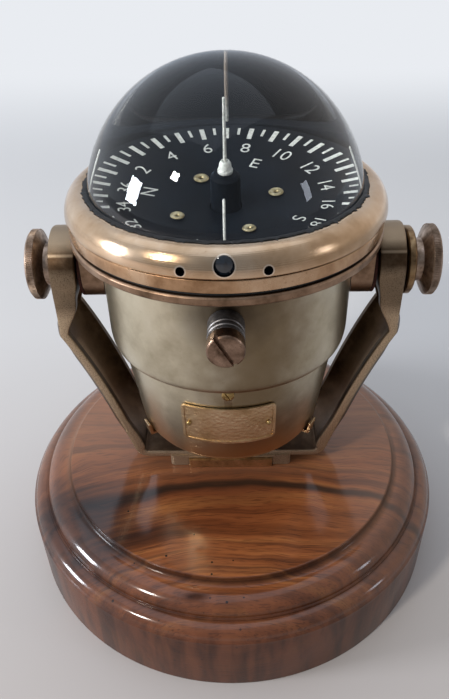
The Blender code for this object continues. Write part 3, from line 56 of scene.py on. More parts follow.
def feed(node, *values, **named):
    """Gives a node's live inputs values in order. A capital opens an input's own name, and
    other names are settings. A node as a value stands for its first live output."""
    pairs = list(zip([socket for socket in node.inputs if socket.enabled], values))
    for name, value in named.items():
        if name == "stops":
            ramp = node.color_ramp
            while len(ramp.elements) < len(value):
                ramp.elements.new(1.0)
            for element, (position, colour) in zip(ramp.elements, value):
                element.position = position
                element.color = linear(colour)
        elif name[0].isupper():
            pairs.append((node.inputs[name.replace("_", " ")], value))
        else:
            setattr(node, name, value)
    for socket, value in pairs:
        if isinstance(value, bpy.types.Node):
            value = next(output for output in value.outputs if output.enabled)
        if isinstance(value, bpy.types.NodeSocket):
            node.id_data.links.new(value, socket)
        else:
            socket.default_value = value


def put(tree, kind, *values, **named):
    """Adds one node, of a kind such as "Bump" or "Math ADD", and feeds it."""
    kind, _, way = kind.partition(" ")
    made = tree.nodes.new(kind if kind.startswith("Geometry") else "ShaderNode" + kind)
    for setting in ("operation", "interpolation_type", "feature", "data_type"):
        if way and hasattr(made, setting):
            setattr(made, setting, way)
            break
    feed(made, *values, **named)
    return made


def turned(degrees, axis="Z"):
    """A turn about one axis."""
    return Matrix.Rotation(math.radians(degrees), 4, axis)


def placed(x, y, z):
    """A move with no turn."""
    return Matrix.Translation((x, y, z))


CAMERA_AT = (3.86, -239.26, 279.85)
CAMERA_PITCH = 36.47
CAMERA_YAW = 1.12
CAMERA_ROLL = -1.29
CAMERA_LENS = 33.62
CAMERA_SENSOR = 36.0

camera_data = bpy.data.cameras.new("camera")
camera_data.lens = CAMERA_LENS
camera_data.sensor_width = CAMERA_SENSOR
camera_data.shift_x = -0.0038
camera_data.shift_y = 0.001
camera_data.clip_start = 0.01
camera = bpy.data.objects.new("camera", camera_data)
bpy.context.scene.collection.objects.link(camera)
camera.matrix_world = (placed(*Vector(CAMERA_AT) * MM) @ turned(CAMERA_YAW)
                       @ turned(90 - CAMERA_PITCH, "X") @ turned(CAMERA_ROLL))
bpy.context.scene.camera = camera
bpy.context.scene.view_settings.view_transform = "Standard"


COMPASS_MIDDLE = Vector((0, 0, 0.15))


def lamp(name, direction, distance, width, height, power, tint):
    """A soft rectangular lamp that faces the compass from that direction."""
    data = bpy.data.lights.new(name, "AREA")
    data.shape = "RECTANGLE"
    data.size = width
    data.size_y = height
    data.energy = power
    data.color = linear(tint)[:3]
    made = bpy.data.objects.new(name, data)
    away = Vector(direction).normalized()
    facing = away.to_track_quat("Z", "Y").to_matrix().to_4x4()
    made.matrix_world = placed(*COMPASS_MIDDLE + away * distance) @ facing
    bpy.context.scene.collection.objects.link(made)


lamp("window", (-0.955, -0.205, 0.22), 1.5, 0.30, 0.40, 16.0, "#f2f6ff")
lamp("ceiling_lamp", (-0.595, -0.57, 0.57), 1.7, 0.16, 0.16, 11.0, "#fff8ee")
lamp("side_window", (0.93, -0.36, 0.27), 1.6, 0.16, 0.34, 1.3, "#e8f0ff")
lamp("overhead", (-0.15, 0.15, 1.0), 1.4, 1.6, 1.6, 4.8, "#dbe6f6")

room = bpy.data.worlds.new("room")
bpy.context.scene.world = room
room.use_nodes = True
add = partial(put, room.node_tree)
x, y, z = add("SeparateXYZ", add("TexCoord").outputs["Generated"]).outputs
side = add("MapRange", x, -0.9, 0.9)
walls = add("ValToRGB", side, stops=[(0.0, "#e9eff8"), (0.45, "#bcc5d2"), (1.0, "#d0ccca")])
behind = add("MapRange", y, -0.8, 0.5, 0.46, 1.13)
feed(room.node_tree.nodes["Background"], Color=walls, Strength=behind)


def opened(finish):
    """Of a material: its shader, the piece's own coordinates, and what adds a node to it."""
    add = partial(put, finish.node_tree)
    return finish.node_tree.nodes["Principled BSDF"], add("TexCoord").outputs["Object"], add


def finish_start(name):
    """A new material, and what opened() gives of it."""
    made = bpy.data.materials.new(name)
    made.use_nodes = True
    return made, *opened(made)


FLOOR_HALF = 6.0
bm = bmesh.new()
bmesh.ops.create_grid(bm, x_segments=1, y_segments=1, size=FLOOR_HALF)
floor_mesh = bpy.data.meshes.new("floor")
bm.to_mesh(floor_mesh)
bm.free()
floor = bpy.data.objects.new("floor", floor_mesh)
bpy.context.scene.collection.objects.link(floor)
floor_finish, shader, where, add = finish_start("pale_cloth_floor")
x, y, z = add("SeparateXYZ", where).outputs
# The floor is painted darker towards the front and paler towards the back, as painted shade and light.
depth = add("MapRange", y, -0.15, 0.75)
shade = add("ValToRGB", depth, stops=[(0.0, "#b9b1ac"), (0.35, "#d0cecc"), (1.0, "#d6d6d5")])
feed(shader, Roughness=0.85, Base_Color=shade)
far_away = add("MapRange SMOOTHSTEP", y, 0.45, 0.95)
seen = add("LightPath")
direct = add("Math ADD", seen.outputs["Is Camera Ray"], seen.outputs["Is Glossy Ray"], use_clamp=True)
any_ray = add("Math ADD", direct, seen.outputs["Is Transmission Ray"], use_clamp=True)
share = add("Math MULTIPLY", far_away, any_ray)
backdrop = add("Emission", Color=linear("#e9ecf1"), Strength=1.0)
ground = add("MixShader", share, shader, backdrop)
feed(floor_finish.node_tree.nodes["Material Output"], Surface=ground)
floor_mesh.materials.append(floor_finish)

# ------------------------------------------------------------------ wooden plinth
# One disc of walnut, turned on a lathe to a flat top, a cove, an ovolo and a sloped
# shoulder. It is varnished to a high gloss, so lamps show as sharp streaks on the
# mouldings. Old worm holes in the front are sealed under the varnish.


def eased(outline, radius, steps=3):
    """Rounds the sharp corners of a closed outline, away from the axis."""
    rounded = []
    for i, point in enumerate(outline):
        before, here = Vector(outline[i - 1]), Vector(point)
        after = Vector(outline[(i + 1) % len(outline)])
        back, on = before - here, after - here
        if here.x < 1e-6 or back.length < 1e-6 or on.length < 1e-6:
            rounded.append(point)
            continue
        turn = math.pi - back.angle(on)
        if turn < math.radians(24):
            rounded.append(point)
            continue
        cut = min(radius * math.tan(turn / 2), back.length * 0.45, on.length * 0.45)
        start, end = here + back.normalized() * cut, here + on.normalized() * cut
        for k in range(steps + 1):
            t = k / steps
            spot = start * (1 - t) ** 2 + here * (2 * t * (1 - t)) + end * t ** 2
            rounded.append((spot.x, spot.y))
    return rounded


def arc(cx, cy, rx, ry, start, end, steps):
    """Points along part of an ellipse, ends included."""
    turns = [math.radians(start + (end - start) * i / steps) for i in range(steps + 1)]
    return [(cx + rx * math.cos(a), cy + ry * math.sin(a)) for a in turns]


def lathe(outline, segments=160, turn=None):
    """A bmesh, in millimetres, of a closed (radius, height) outline spun round Z."""
    bm = bmesh.new()
    points = [bm.verts.new((r, 0.0, z)) for r, z in outline]
    edges = [bm.edges.new((a, b)) for a, b in zip(points, points[1:] + points[:1])
             if max(a.co.x, b.co.x) > 1e-6]
    bmesh.ops.spin(bm, geom=points + edges, cent=(0, 0, 0), axis=(0, 0, 1), dvec=(0, 0, 0),
                   angle=math.tau, steps=segments, use_merge=True)
    bmesh.ops.remove_doubles(bm, verts=bm.verts, dist=1e-5)
    bmesh.ops.dissolve_degenerate(bm, edges=bm.edges, dist=1e-6)
    bmesh.ops.recalc_face_normals(bm, faces=bm.faces)
    if turn is not None:
        bmesh.ops.transform(bm, matrix=turn, verts=bm.verts)
    return bm


def as_mesh(name, source):
    """A mesh is only given the name. A bmesh is used up to make one."""
    if isinstance(source, bmesh.types.BMesh):
        mesh = bpy.data.meshes.new(name)
        source.to_mesh(mesh)
        source.free()
        return mesh
    source.name = name
    return source


def settle(name, source, finish=None, sharp=30.0, turn=None):
    """A bmesh or a mesh in millimetres becomes a piece in metres, smooth but for its edges."""
    mesh = as_mesh(name, source)
    if turn is not None:
        mesh.transform(turn)
    mesh.transform(Matrix.Scale(MM, 4))
    mesh.shade_smooth()
    mesh.set_sharp_from_angle(angle=math.radians(sharp))
    piece = bpy.data.objects.new(name, mesh)
    bpy.context.scene.collection.objects.link(piece)
    if finish is not None:
        mesh.materials.clear()
        mesh.materials.append(finish)
    return piece


# Walnut: brown heartwood. Flat-sawn figure arches across the front in dark lines, with a
# nearly black patch and a small knot at the front left. Open pores show as short dark
# dashes, and a thick clear varnish gives the gloss. The top is painted paler and greyer
# towards the back and the right as a painted reflection, a painted shadow of the casing
# lies in front of the foot, and the grooves, mouldings and sides carry painted shade.
ARCH_MIDDLE = (10.0, -30.0)
ARCH_CURVE = 0.0022
STREAK_MM = 9.0
LINE_MM = 2.6
PORE_MM = 0.4
DARK_PATCH = (-66.0, -50.0, 30.0)
DARK_PATCH_MM = 24.0
KNOT = (-14.0, -86.0, 43.0)
WORM_HOLE_MM = 6.5
WORM_MIDDLE = (-38.0, -84.0, 40.0)
# The centre of the casing's painted shadow and reflection on the top.
CASING_SHADE_AT = (-2.0, -27.0, 46.0)
walnut, shader, where, add = finish_start("varnished_walnut")
scaled = add("Mapping", where, Scale=(1 / MM, 1 / MM, 1 / MM))
bend = add("TexNoise", scaled, 1 / 55, 3.0)
x, y, z = add("SeparateXYZ", scaled).outputs
curve = add("MapRange SMOOTHSTEP", y, 5.0, -35.0, 0.0, ARCH_CURVE)
off_middle = add("Math SUBTRACT", x, ARCH_MIDDLE[0])
squared = add("Math MULTIPLY", off_middle, off_middle)
arched = add("Math MULTIPLY_ADD", squared, curve, y)
wavy = add("Math MULTIPLY_ADD", bend, 13.0, arched)
layer = add("Math MULTIPLY_ADD", z, -0.3, wavy)
grain = add("CombineXYZ", x, layer, z)
streak_way = add("Mapping", grain, Scale=(0.07 / STREAK_MM, 1.25 / STREAK_MM, 0.3 / STREAK_MM))
streaks = add("TexNoise", streak_way, 1.0, 5.0, 0.62)
tone = add("ValToRGB", streaks,
           stops=[(0.26, "#633419"), (0.42, "#7b4423"), (0.54, "#8e512b"), (0.67, "#9f6436"), (0.82, "#ad7747")])
line_way = add("Mapping", grain, Scale=(0.02 / LINE_MM, 1 / LINE_MM, 0.2 / LINE_MM))
lines = add("TexNoise", line_way, 1.0, 2.0, 0.5)
line = add("MapRange", lines, 0.54, 0.70, 0.0, 0.6)
arch_off = add("Math SUBTRACT", layer, ARCH_MIDDLE[1] + 6.5 - 0.3 * 46)
arch_far = add("Math ABSOLUTE", arch_off)
arch_mark = add("MapRange SMOOTHSTEP", arch_far, 0.6, 3.6, 0.95, 0.0)
patch_way = add("VectorMath SUBTRACT", scaled, DARK_PATCH)
patch_flat = add("Mapping", patch_way, Rotation=(0, 0, 0.82), Scale=(0.62, 1.0, 0.8))
patch_far = add("VectorMath LENGTH", patch_flat)
patch_edge = add("Math MULTIPLY_ADD", streaks, 40.0, patch_far)
patch = add("MapRange SMOOTHSTEP", patch_edge, DARK_PATCH_MM + 8, DARK_PATCH_MM + 34, 0.93, 0.0)
level = add("CombineXYZ", x, y)
out_from_axis = add("VectorMath LENGTH", level)
# Dark lines at the cove and at the ovolo's step are painted: grime in the grooves together with painted shade.
groove_at = add("Math MULTIPLY", out_from_axis, 0.01)
groove = add("ValToRGB", groove_at,
             stops=[(0.0, "#000000"), (0.786, "#000000"), (0.804, "#f0f0f0"), (0.832, "#101010"),
                    (0.910, "#000000"), (0.925, "#e0e0e0"), (0.938, "#000000")])
low_down = add("MapRange", z, 46.21, 46.1)
grooves = add("Math MULTIPLY", groove, low_down)
knot_way = add("VectorMath SUBTRACT", scaled, KNOT)
knot_flat = add("Mapping", knot_way, Rotation=(0, 0, 0.5), Scale=(0.35, 1.0, 0.5))
knot_far = add("VectorMath LENGTH", knot_flat)
knot_edge = add("Math MULTIPLY_ADD", bend, 4.0, knot_far)
knot = add("MapRange", knot_edge, 2.6, 4.2, 0.9, 0.0)
pore_way = add("Mapping", grain, Scale=(0.05 / PORE_MM, 1 / PORE_MM, 0.6 / PORE_MM))
pores = add("TexNoise", pore_way, 1.0, 2.0, 0.5)
pore = add("MapRange", pores, 0.53, 0.66, 0.0, 0.6)
worm = add("TexVoronoi F1", scaled, 1 / WORM_HOLE_MM)
hole = add("Math LESS_THAN", worm, 0.09)
worm_far = add("VectorMath DISTANCE", scaled, WORM_MIDDLE)
worm_near = add("Math LESS_THAN", worm_far, 46.0)
holes = add("Math MULTIPLY", hole, worm_near)
# A dark red-brown spot in front of the foot is painted: the casing's shadow and its reflection in the varnish.
casing_shade_far = add("VectorMath DISTANCE", scaled, CASING_SHADE_AT)
casing_shade = add("MapRange SMOOTHSTEP", casing_shade_far, 10.0, 44.0, 0.5, 0.0)
marked = tone
for mask, tint in ((casing_shade, "#4c2011"), (line, "#3a1c10"), (arch_mark, "#120703"), (patch, "#1a0b06"),
                   (grooves, "#140905"), (pore, "#3a1c0e"), (knot, "#080302"), (holes, "#050201")):
    marked = add("Mix RGBA", mask, marked, linear(tint))
# The top is painted paler and greyer towards the back and the right: a painted reflection of the bright wall in
# the varnish.
painted_sheen = add("MapRange SMOOTHSTEP", y, -45.0, 15.0, 0.0, 0.5)
painted_sheen_right = add("MapRange SMOOTHSTEP", off_middle, 15.0, 70.0, 0.0, 0.32)
painted_sheen = add("Math MAXIMUM", painted_sheen, painted_sheen_right)
with_painted_sheen = add("Mix RGBA", painted_sheen, marked, linear("#97745c"))
# The outer mouldings and the sides are painted darker, toward a dark end-grain tone, as painted shade.
outside = add("MapRange SMOOTHSTEP", out_from_axis, 82.0, 88.0, 0.0, 0.56)
sides = add("MapRange SMOOTHSTEP", z, 35.0, 29.0, 0.0, 0.3)
shaded = add("Math ADD", outside, sides)
end_way = add("Mapping", scaled, Scale=(1 / 9, 1 / 9, 1 / 70))
end_grain = add("TexNoise", end_way, 1.0, 3.0, 0.6)
end_tone = add("ValToRGB", end_grain, stops=[(0.38, "#2a140c"), (0.60, "#5a3320")])
with_edge_shade = add("Mix RGBA", shaded, with_painted_sheen, end_tone)
thick = add("MapRange", z, 29.5, 31.5, 0.4, 1.0)
dull = add("Math MULTIPLY_ADD", grooves, -1.1, thick)
dull = add("Math MULTIPLY_ADD", knot, -1.0, dull, use_clamp=True)
relief = add("Math MULTIPLY_ADD", holes, 4.0, pore)
bump = add("Bump", Height=relief, Strength=0.3, Distance=0.12 * MM, invert=True)
feed(shader, Base_Color=with_edge_shade, Normal=bump, Roughness=0.45, Specular_IOR_Level=0.1,
     Coat_Weight=dull, Coat_Roughness=0.12)

PLINTH_R = 100.0
PLINTH_SIDE_H = 30.7
PLINTH_TOP = 46.2
PLINTH_FLAT_R = 80.0
COVE_R = 3.2
OVOLO_W = 8.8
OVOLO_H = 6.2
STEP = 0.9
cove_x = PLINTH_FLAT_R + COVE_R
ovolo_z = PLINTH_TOP - COVE_R - OVOLO_H
step_x = cove_x + OVOLO_W + STEP
outline = [(0, 0), (PLINTH_R, 0), (PLINTH_R, PLINTH_SIDE_H)]
outline += arc(step_x, PLINTH_SIDE_H, PLINTH_R - STEP - step_x, ovolo_z - STEP - PLINTH_SIDE_H, 12, 88, 8)
outline += [(step_x, ovolo_z - STEP), (step_x, ovolo_z)]
outline += arc(cove_x, ovolo_z, OVOLO_W, OVOLO_H, 0, 90, 14)
outline += arc(cove_x, PLINTH_TOP - 0.3, COVE_R, COVE_R - 0.3, 270, 180, 8)
outline += [(PLINTH_FLAT_R - 0.6, PLINTH_TOP), (0, PLINTH_TOP)]
plinth = settle("plinth", lathe(eased(outline, 0.8), 220), walnut, 40)
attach(plinth, "base")
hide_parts("wood_plinth")

# ------------------------------------------------------------------ cast yoke
# A bronze casting: a foot, two slanted arms hollowed like a gutter on the bowl side,
# and two thick bosses. Faces are as cast under a brown skin, the hollow holds old polish,
# and the edges are rubbed bright. The hollow is painted a paler brown as painted fill
# light, with a painted reflection along its floor, and the boss tops carry painted highlights.
YOKE_HALF_W = 16.0
YOKE_EDGE = 3.3
HEEL_T = 5.2
YOKE_ROUND = 0.7
LIP_W = 3.4
AXIS_Z = 148.6
BOSS_FACE_X = 70.3
BOSS_T = 10.3
KINK_Z = 122.5
HEEL_X = 45.8
FOOT_UNDER_Z = 51.3
FOOT_BEND_X = 38.0
HEEL_TANGENT_X = 44.4
ARM_BOW = (56.3, 96.1)
HEEL_Z = 56.8
TROUGH = 7.2
BULGE = 6.6
PAD_HALF_X = 29.0
PAD_HALF_Y = 17.0
PLATE_HALF_X = 20.0
PLATE_HALF_Y = 18.5
PLATE_Z = 46.5
PLATE_T = 4.5
PLATE_GROOVE_HALF_X = 20.3
FOOT_SCREWS = [(x, y) for x in (-13.0, 13.0) for y in (-9.0, 9.0)]
FOOT_BORE_R = 2.3


def bezier(start, control, end, steps):
    """Points and slopes of a curve with one control point."""
    found = []
    for i in range(steps + 1):
        t = i / steps
        spot = [(1 - t) ** 2 * a + 2 * t * (1 - t) * b + t * t * c for a, b, c in zip(start, control, end)]
        slope = Vector([2 * (1 - t) * (b - a) + 2 * t * (c - b) for a, b, c in zip(start, control, end)])
        found.append((spot, slope.normalized()))
    return found


def between(value, table):
    """Reads a table of (position, amount) pairs, eased between its entries."""
    for (low, first), (high, second) in zip(table, table[1:]):
        if value <= high:
            share = min(max((value - low) / (high - low), 0.0), 1.0)
            return first + (second - first) * (share * share * (3 - 2 * share))
    return table[-1][1]


def yoke_stations():
    """Sections up the right half: place, outward normal, half width, edge, bulge, trough."""
    path = [((x, FOOT_UNDER_Z), Vector((1, 0))) for x in (0.0, 10.0, 20.0, 29.0, 34.0)]
    path += bezier((FOOT_BEND_X, FOOT_UNDER_Z), (HEEL_TANGENT_X, FOOT_UNDER_Z), (HEEL_X, HEEL_Z), 10)
    path += bezier((HEEL_X, HEEL_Z), ARM_BOW, (BOSS_FACE_X, KINK_Z), 36)[1:-1]
    rise = AXIS_Z - KINK_Z
    path += [((BOSS_FACE_X, KINK_Z), Vector((0.24, 0.97)))]
    path += [((BOSS_FACE_X, KINK_Z + rise * i / 20), Vector((0, 1))) for i in range(1, 21)]
    edge = [(FOOT_UNDER_Z, YOKE_EDGE), (HEEL_Z, HEEL_T), (HEEL_Z + 18, YOKE_EDGE), (KINK_Z, YOKE_EDGE),
            (KINK_Z + rise * 0.6, BOSS_T * 0.85), (AXIS_Z, BOSS_T)]
    bulge = [(FOOT_UNDER_Z, 0.0), (HEEL_Z + 18, BULGE), (KINK_Z - 14, BULGE), (KINK_Z, BULGE * 0.6),
             (AXIS_Z - YOKE_HALF_W, 0.0)]
    trough = [(FOOT_UNDER_Z, 0.0), (HEEL_Z + 18, TROUGH), (KINK_Z - 14, TROUGH), (KINK_Z, TROUGH * 0.68),
              (KINK_Z + rise * 0.4, TROUGH * 0.62), (KINK_Z + rise * 0.7, 0.0)]
    found = [(x, z, (slope[1], -slope[0]), YOKE_HALF_W, between(z, edge), between(z, bulge), between(z, trough))
             for (x, z), slope in path]
    for step in range(1, 15):
        a = math.radians(6 * step)
        found.append((BOSS_FACE_X, AXIS_Z + YOKE_HALF_W * math.sin(a), (1.0, 0.0), YOKE_HALF_W * math.cos(a),
                      BOSS_T, 0.0, 0.0))
    return found


def yoke_section(station, side, steps=36):
    """One closed ring with rounded corners, and for each point how deep in the hollow it lies."""
    x, z, (nx, nz), half, edge, bulge, trough = station
    soft = min(YOKE_ROUND, edge * 0.4, half * 0.4)
    flat = []
    for face, depth, curve in ((1, 0.0, bulge), (-1, -edge, trough)):
        for i in range(steps + 1):
            y = face * (half - soft) * (2 * i / steps - 1)
            if face > 0:
                flat.append((y, depth + curve * (1 - (y / half) ** 2), 0.0))
                continue
            bowed = max(0.0, 1 - (y / max(half - LIP_W, 1.0)) ** 2) ** 0.75
            flat.append((y, depth + curve * bowed, bowed * trough / TROUGH))
        corner = face * half
        inner = -edge if face > 0 else 0.0
        near = flat[-1][1]
        flat += [(corner * (1 - 0.29 * soft / half), near + (inner - near) * 0.29 * soft / edge, 0.0),
                 (corner, near + (inner - near) * soft / edge, 0.0)]
        flat += [(corner, near + (inner - near) * (1 - soft / edge), 0.0),
                 (corner * (1 - 0.29 * soft / half), near + (inner - near) * (1 - 0.29 * soft / edge), 0.0)]
    return [((side * (x + nx * out), y, z + nz * out), hollow) for y, out, hollow in flat]


def skin(rings, closed=False):
    """A bmesh of faces from ring to ring, with a lid on each end unless the rings close up."""
    bm = bmesh.new()
    loops = [[bm.verts.new(point) for point in ring] for ring in rings]
    for near, far in zip(loops, loops[1:] + loops[:1] if closed else loops[1:]):
        for i, vert in enumerate(near):
            following = (i + 1) % len(near)
            bm.faces.new((vert, near[following], far[following], far[i]))
    if not closed:
        bm.faces.new(loops[0])
        bm.faces.new(loops[-1])
    bmesh.ops.recalc_face_normals(bm, faces=bm.faces)
    return bm


stations = yoke_stations()
sections = [yoke_section(s, -1) for s in reversed(stations[1:])] + [yoke_section(s, 1) for s in stations]
yoke = settle("yoke", skin([[point for point, _ in section] for section in sections]), None, 40)


def box_outline(half_x, half_y, corner, steps=4):
    """A rectangle with rounded corners."""
    x, y = half_x - corner, half_y - corner
    return (arc(x, y, corner, corner, 0, 90, steps) + arc(-x, y, corner, corner, 90, 180, steps)
            + arc(-x, -y, corner, corner, 180, 270, steps) + arc(x, -y, corner, corner, 270, 360, steps))


def prism(outline, low, high, turn=None):
    """A bmesh of a flat outline, extruded from low to high along Z."""
    bm = bmesh.new()
    face = bm.faces.new([bm.verts.new((x, y, low)) for x, y in outline])
    made = bmesh.ops.extrude_face_region(bm, geom=[face])
    bmesh.ops.translate(bm, verts=[v for v in made["geom"] if isinstance(v, bmesh.types.BMVert)],
                        vec=(0, 0, high - low))
    bmesh.ops.remove_doubles(bm, verts=bm.verts, dist=1e-5)
    bmesh.ops.recalc_face_normals(bm, faces=bm.faces)
    if turn is not None:
        bmesh.ops.transform(bm, matrix=turn, verts=bm.verts)
    return bm


def carve(piece, tools, operation="DIFFERENCE", sharp=30.0):
    """Cuts the tools from a piece, or joins them to it, and shades what is left."""
    for tool_bm in tools:
        tool = settle("tool", tool_bm)
        modifier = piece.modifiers.new("cut", "BOOLEAN")
        modifier.operation = operation
        modifier.solver = "EXACT"
        modifier.object = tool
        graph = bpy.context.evaluated_depsgraph_get()
        result = bpy.data.meshes.new_from_object(piece.evaluated_get(graph))
        piece.modifiers.remove(modifier)
        old, piece.data = piece.data, result
        result.name = piece.name
        bpy.data.meshes.remove(old)
        bpy.data.objects.remove(tool)
    piece.data.shade_smooth()
    piece.data.set_sharp_from_angle(angle=math.radians(sharp))


def oblong(half_x, half_y):
    """A rectangle with sharp corners."""
    return [(-half_x, -half_y), (half_x, -half_y), (half_x, half_y), (-half_x, half_y)]


def round_outline(radius, steps=32):
    """A circle, as a polygon with that many sides."""
    return arc(0, 0, radius, radius, 0, 360 * (steps - 1) / steps, steps - 1)


ALONG_X = turned(90, "Y")
ALONG_MINUS_X = turned(-90, "Y")
ALONG_MINUS_Y = turned(90, "X")
AT_AXIS = placed(0, 0, AXIS_Z)
STUD_HOLE_R = 4.3
carve(yoke, [prism(box_outline(PAD_HALF_X, PAD_HALF_Y, 2.0), PLATE_Z, FOOT_UNDER_Z + 1.2)], "UNION")
carve(yoke, [prism(oblong(PLATE_GROOVE_HALF_X, 30), PLATE_Z - 1, FOOT_UNDER_Z)])
carve(yoke, [prism(round_outline(FOOT_BORE_R), FOOT_UNDER_Z - 1, FOOT_UNDER_Z + 6, placed(x, y, 0))
             for x, y in FOOT_SCREWS])
carve(yoke, [prism(round_outline(STUD_HOLE_R), BOSS_FACE_X - BOSS_T - 2, BOSS_FACE_X + 2, AT_AXIS @ turn)
             for turn in (ALONG_X, ALONG_MINUS_X)], sharp=38)
depths = [pair for section in sections for pair in section]
finder = kdtree.KDTree(len(depths))
for i, (point, _) in enumerate(depths):
    finder.insert(Vector(point) * MM, i)
finder.balance()
hollow = yoke.data.attributes.new("hollow", "FLOAT", "POINT")
hollow.data.foreach_set("value", [depths[finder.find(v.co)[1]][1] for v in yoke.data.vertices])

# Cast bronze with a brown skin: dull brown metal, pale and smooth on the rubbed edges,
# with a grain left by the sand mould. Grime in the hollow and low down is a paler,
# non-metallic brown that is also painted fill light. The hollow's floor has a painted
# reflection streak, and the boss tops and their edge lines carry painted highlights.
SAND_MM = 0.5
PATINA_MM = 9.0
cast_bronze, shader, where, add = finish_start("cast_bronze_brown_patina")
sand = add("TexNoise", where, 1 / (SAND_MM * MM), 4.0, 0.6)
patina = add("TexNoise", where, 1 / (PATINA_MM * MM), 5.0, 0.65)
pits = add("TexVoronoi F1", where, 1 / (2.6 * MM))
brown = add("ValToRGB", patina, stops=[(0.30, "#34271b"), (0.50, "#4b3a2a"), (0.70, "#675442")])
x, y, z = add("SeparateXYZ", where).outputs
reach = add("Math ABSOLUTE", y)
rubbed = add("MapRange", reach, 14.9 * MM, 15.9 * MM)
broken = add("MapRange", sand, 0.28, 0.52)
under_boss = add("MapRange", z, 0.137, 0.131, 0.38)
edge_wear = add("Math MULTIPLY", rubbed, under_boss)
worn = add("Math MULTIPLY", edge_wear, broken)
# The boss tops are painted paler: wear from hands, with painted light from above.
top_wear_and_light = add("MapRange", z, 0.159, 0.1622, 0.0, 0.6)
wear_and_lit_top = add("Math MAXIMUM", worn, top_wear_and_light)
# A pale line where each boss's round top meets its flat face is a painted highlight.
edge_glint_off = add("Math SUBTRACT", z, 0.1588)
edge_glint_far = add("Math ABSOLUTE", edge_glint_off)
painted_edge_glint = add("MapRange", edge_glint_far, 0.0002, 0.0007, 0.45, 0.0)
outer = add("Math GREATER_THAN", reach, 11.0 * MM)
edge_glint_part = add("Math MULTIPLY", painted_edge_glint, outer)
wear_and_glints = add("Math MAXIMUM", wear_and_lit_top, edge_glint_part)
wear_and_glint_part = add("Math MULTIPLY", wear_and_glints, 0.7)
trough = add("Attribute", attribute_name="hollow")
deep = add("Math MULTIPLY", trough.outputs["Fac"], under_boss)
# The hollow and the low ends of the arms take a paler, non-metallic brown: grime, painted light enough to stand
# for fill light in the hollow's shade.
grime_and_fill_edge = add("Math MULTIPLY_ADD", patina, 0.5, -0.15)
foot = add("MapRange", z, 0.085, 0.052, 0.0, 0.45)
low_grime_and_fill = add("Math ADD", deep, foot)
grime_and_fill_sum = add("Math ADD", low_grime_and_fill, grime_and_fill_edge)
grime_and_fill_light = add("MapRange", grime_and_fill_sum, 0.25, 1.4, 0.0, 0.9)
# A paler streak along the middle of the hollow's floor is a painted reflection.
painted_streak = add("MapRange", deep, 0.93, 1.0, 0.0, 0.55)
painted_streak_part = add("Math MULTIPLY", painted_streak, broken)
streaked = brown
for mask, tint in ((wear_and_glint_part, "#dfc6a6"), (grime_and_fill_light, "#755d49"), (painted_streak_part, "#b89c7e")):
    streaked = add("Mix RGBA", mask, streaked, linear(tint))
bare = add("MapRange", grime_and_fill_light, 0.0, 1.0, 1.0, 0.15)
matt = add("MapRange", sand, 0.0, 1.0, 0.36, 0.58)
pit = add("MapRange", pits, 0.0, 0.22)
height = add("Math MULTIPLY_ADD", pit, 0.6, sand)
bump = add("Bump", Height=height, Strength=0.35, Distance=0.14 * MM)
feed(shader, Base_Color=streaked, Metallic=bare, Roughness=matt, Normal=bump, Specular_IOR_Level=0.25)
yoke.data.materials.clear()
yoke.data.materials.append(cast_bronze)
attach(yoke, "base")
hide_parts("yoke_bracket")

# ------------------------------------------------------------------ slide plate and its screws
# A machined brass plate lies in the groove under the yoke's foot. Four slotted brass
# screws go through foot and plate into the wood.


def aged_metal(name, bright, middle, dark, rough, mottle_mm, mark_mm, mark_depth_mm, axis="Z"):
    """Machined metal that has dulled: mottled colour, and fine marks round its turning axis."""
    made, shader, where, add = finish_start(name)
    mottle = add("TexNoise", where, 1 / (mottle_mm * MM), 5.0, 0.6)
    colour = add("ValToRGB", mottle, stops=[(0.28, dark), (0.46, middle), (0.66, bright)])
    specks = add("TexNoise", where, 1 / (0.9 * MM), 2.0)
    speck = add("MapRange", specks, 0.68, 0.78, 0.0, 0.7)
    spotted = add("Mix RGBA", speck, colour, linear(dark))
    aside = {"X": (0, math.pi / 2, 0), "Y": (math.pi / 2, 0, 0), "Z": (0, 0, 0)}[axis]
    facing = add("Mapping", where, Rotation=aside)
    x, y, z = add("SeparateXYZ", facing).outputs
    radius = add("VectorMath LENGTH", add("CombineXYZ", x, y))
    reach = add("CombineXYZ", radius, z)
    marks = add("TexNoise", reach, 1 / (mark_mm * MM), 2.0)
    low, high = rough
    sheen = add("MapRange", mottle, 0.3, 0.7, high, low)
    bump = add("Bump", Height=marks, Strength=0.5, Distance=mark_depth_mm * MM)
    feed(shader, Metallic=1.0, Base_Color=spotted, Roughness=sheen, Normal=bump)
    return made


# Sheet and bar brass, gone brown: warm yellow where handled.
plate_brass = aged_metal("browned_yellow_brass", "#e2bf90", "#bd986c", "#7b5e41", (0.30, 0.48), 7.0, 0.5, 0.03)
slab = prism(box_outline(PLATE_HALF_X, PLATE_HALF_Y, 0.8), PLATE_Z, PLATE_Z + PLATE_T)
slide = settle("slide_plate_finished", slab, plate_brass)
carve(slide, [prism(round_outline(FOOT_BORE_R), PLATE_Z - 1, PLATE_Z + PLATE_T + 1, placed(x, y, 0))
              for x, y in FOOT_SCREWS])
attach(slide, "base")
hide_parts("slide_plate")


def slotted_screw(radius, head_r, head_h, length, slot_w, slot_d, dome=0.0):
    """A mesh of one slotted screw: shank down from 0, head above it."""
    top = head_h + dome
    outline = [(0, -length), (radius, -length + radius), (radius, 0), (head_r, 0),
               (head_r, head_h * 0.7), (head_r - 0.4, head_h)]
    if dome:
        outline.append((head_r * 0.6, head_h + dome * 0.7))
    screw = settle("screw", lathe(eased(outline + [(0, top)], 0.2), 32))
    carve(screw, [prism(oblong(head_r + 1, slot_w / 2), top - slot_d, top + 1)])
    mesh = screw.data.copy()
    bpy.data.objects.remove(screw)
    mesh.transform(Matrix.Scale(1 / MM, 4))
    return mesh


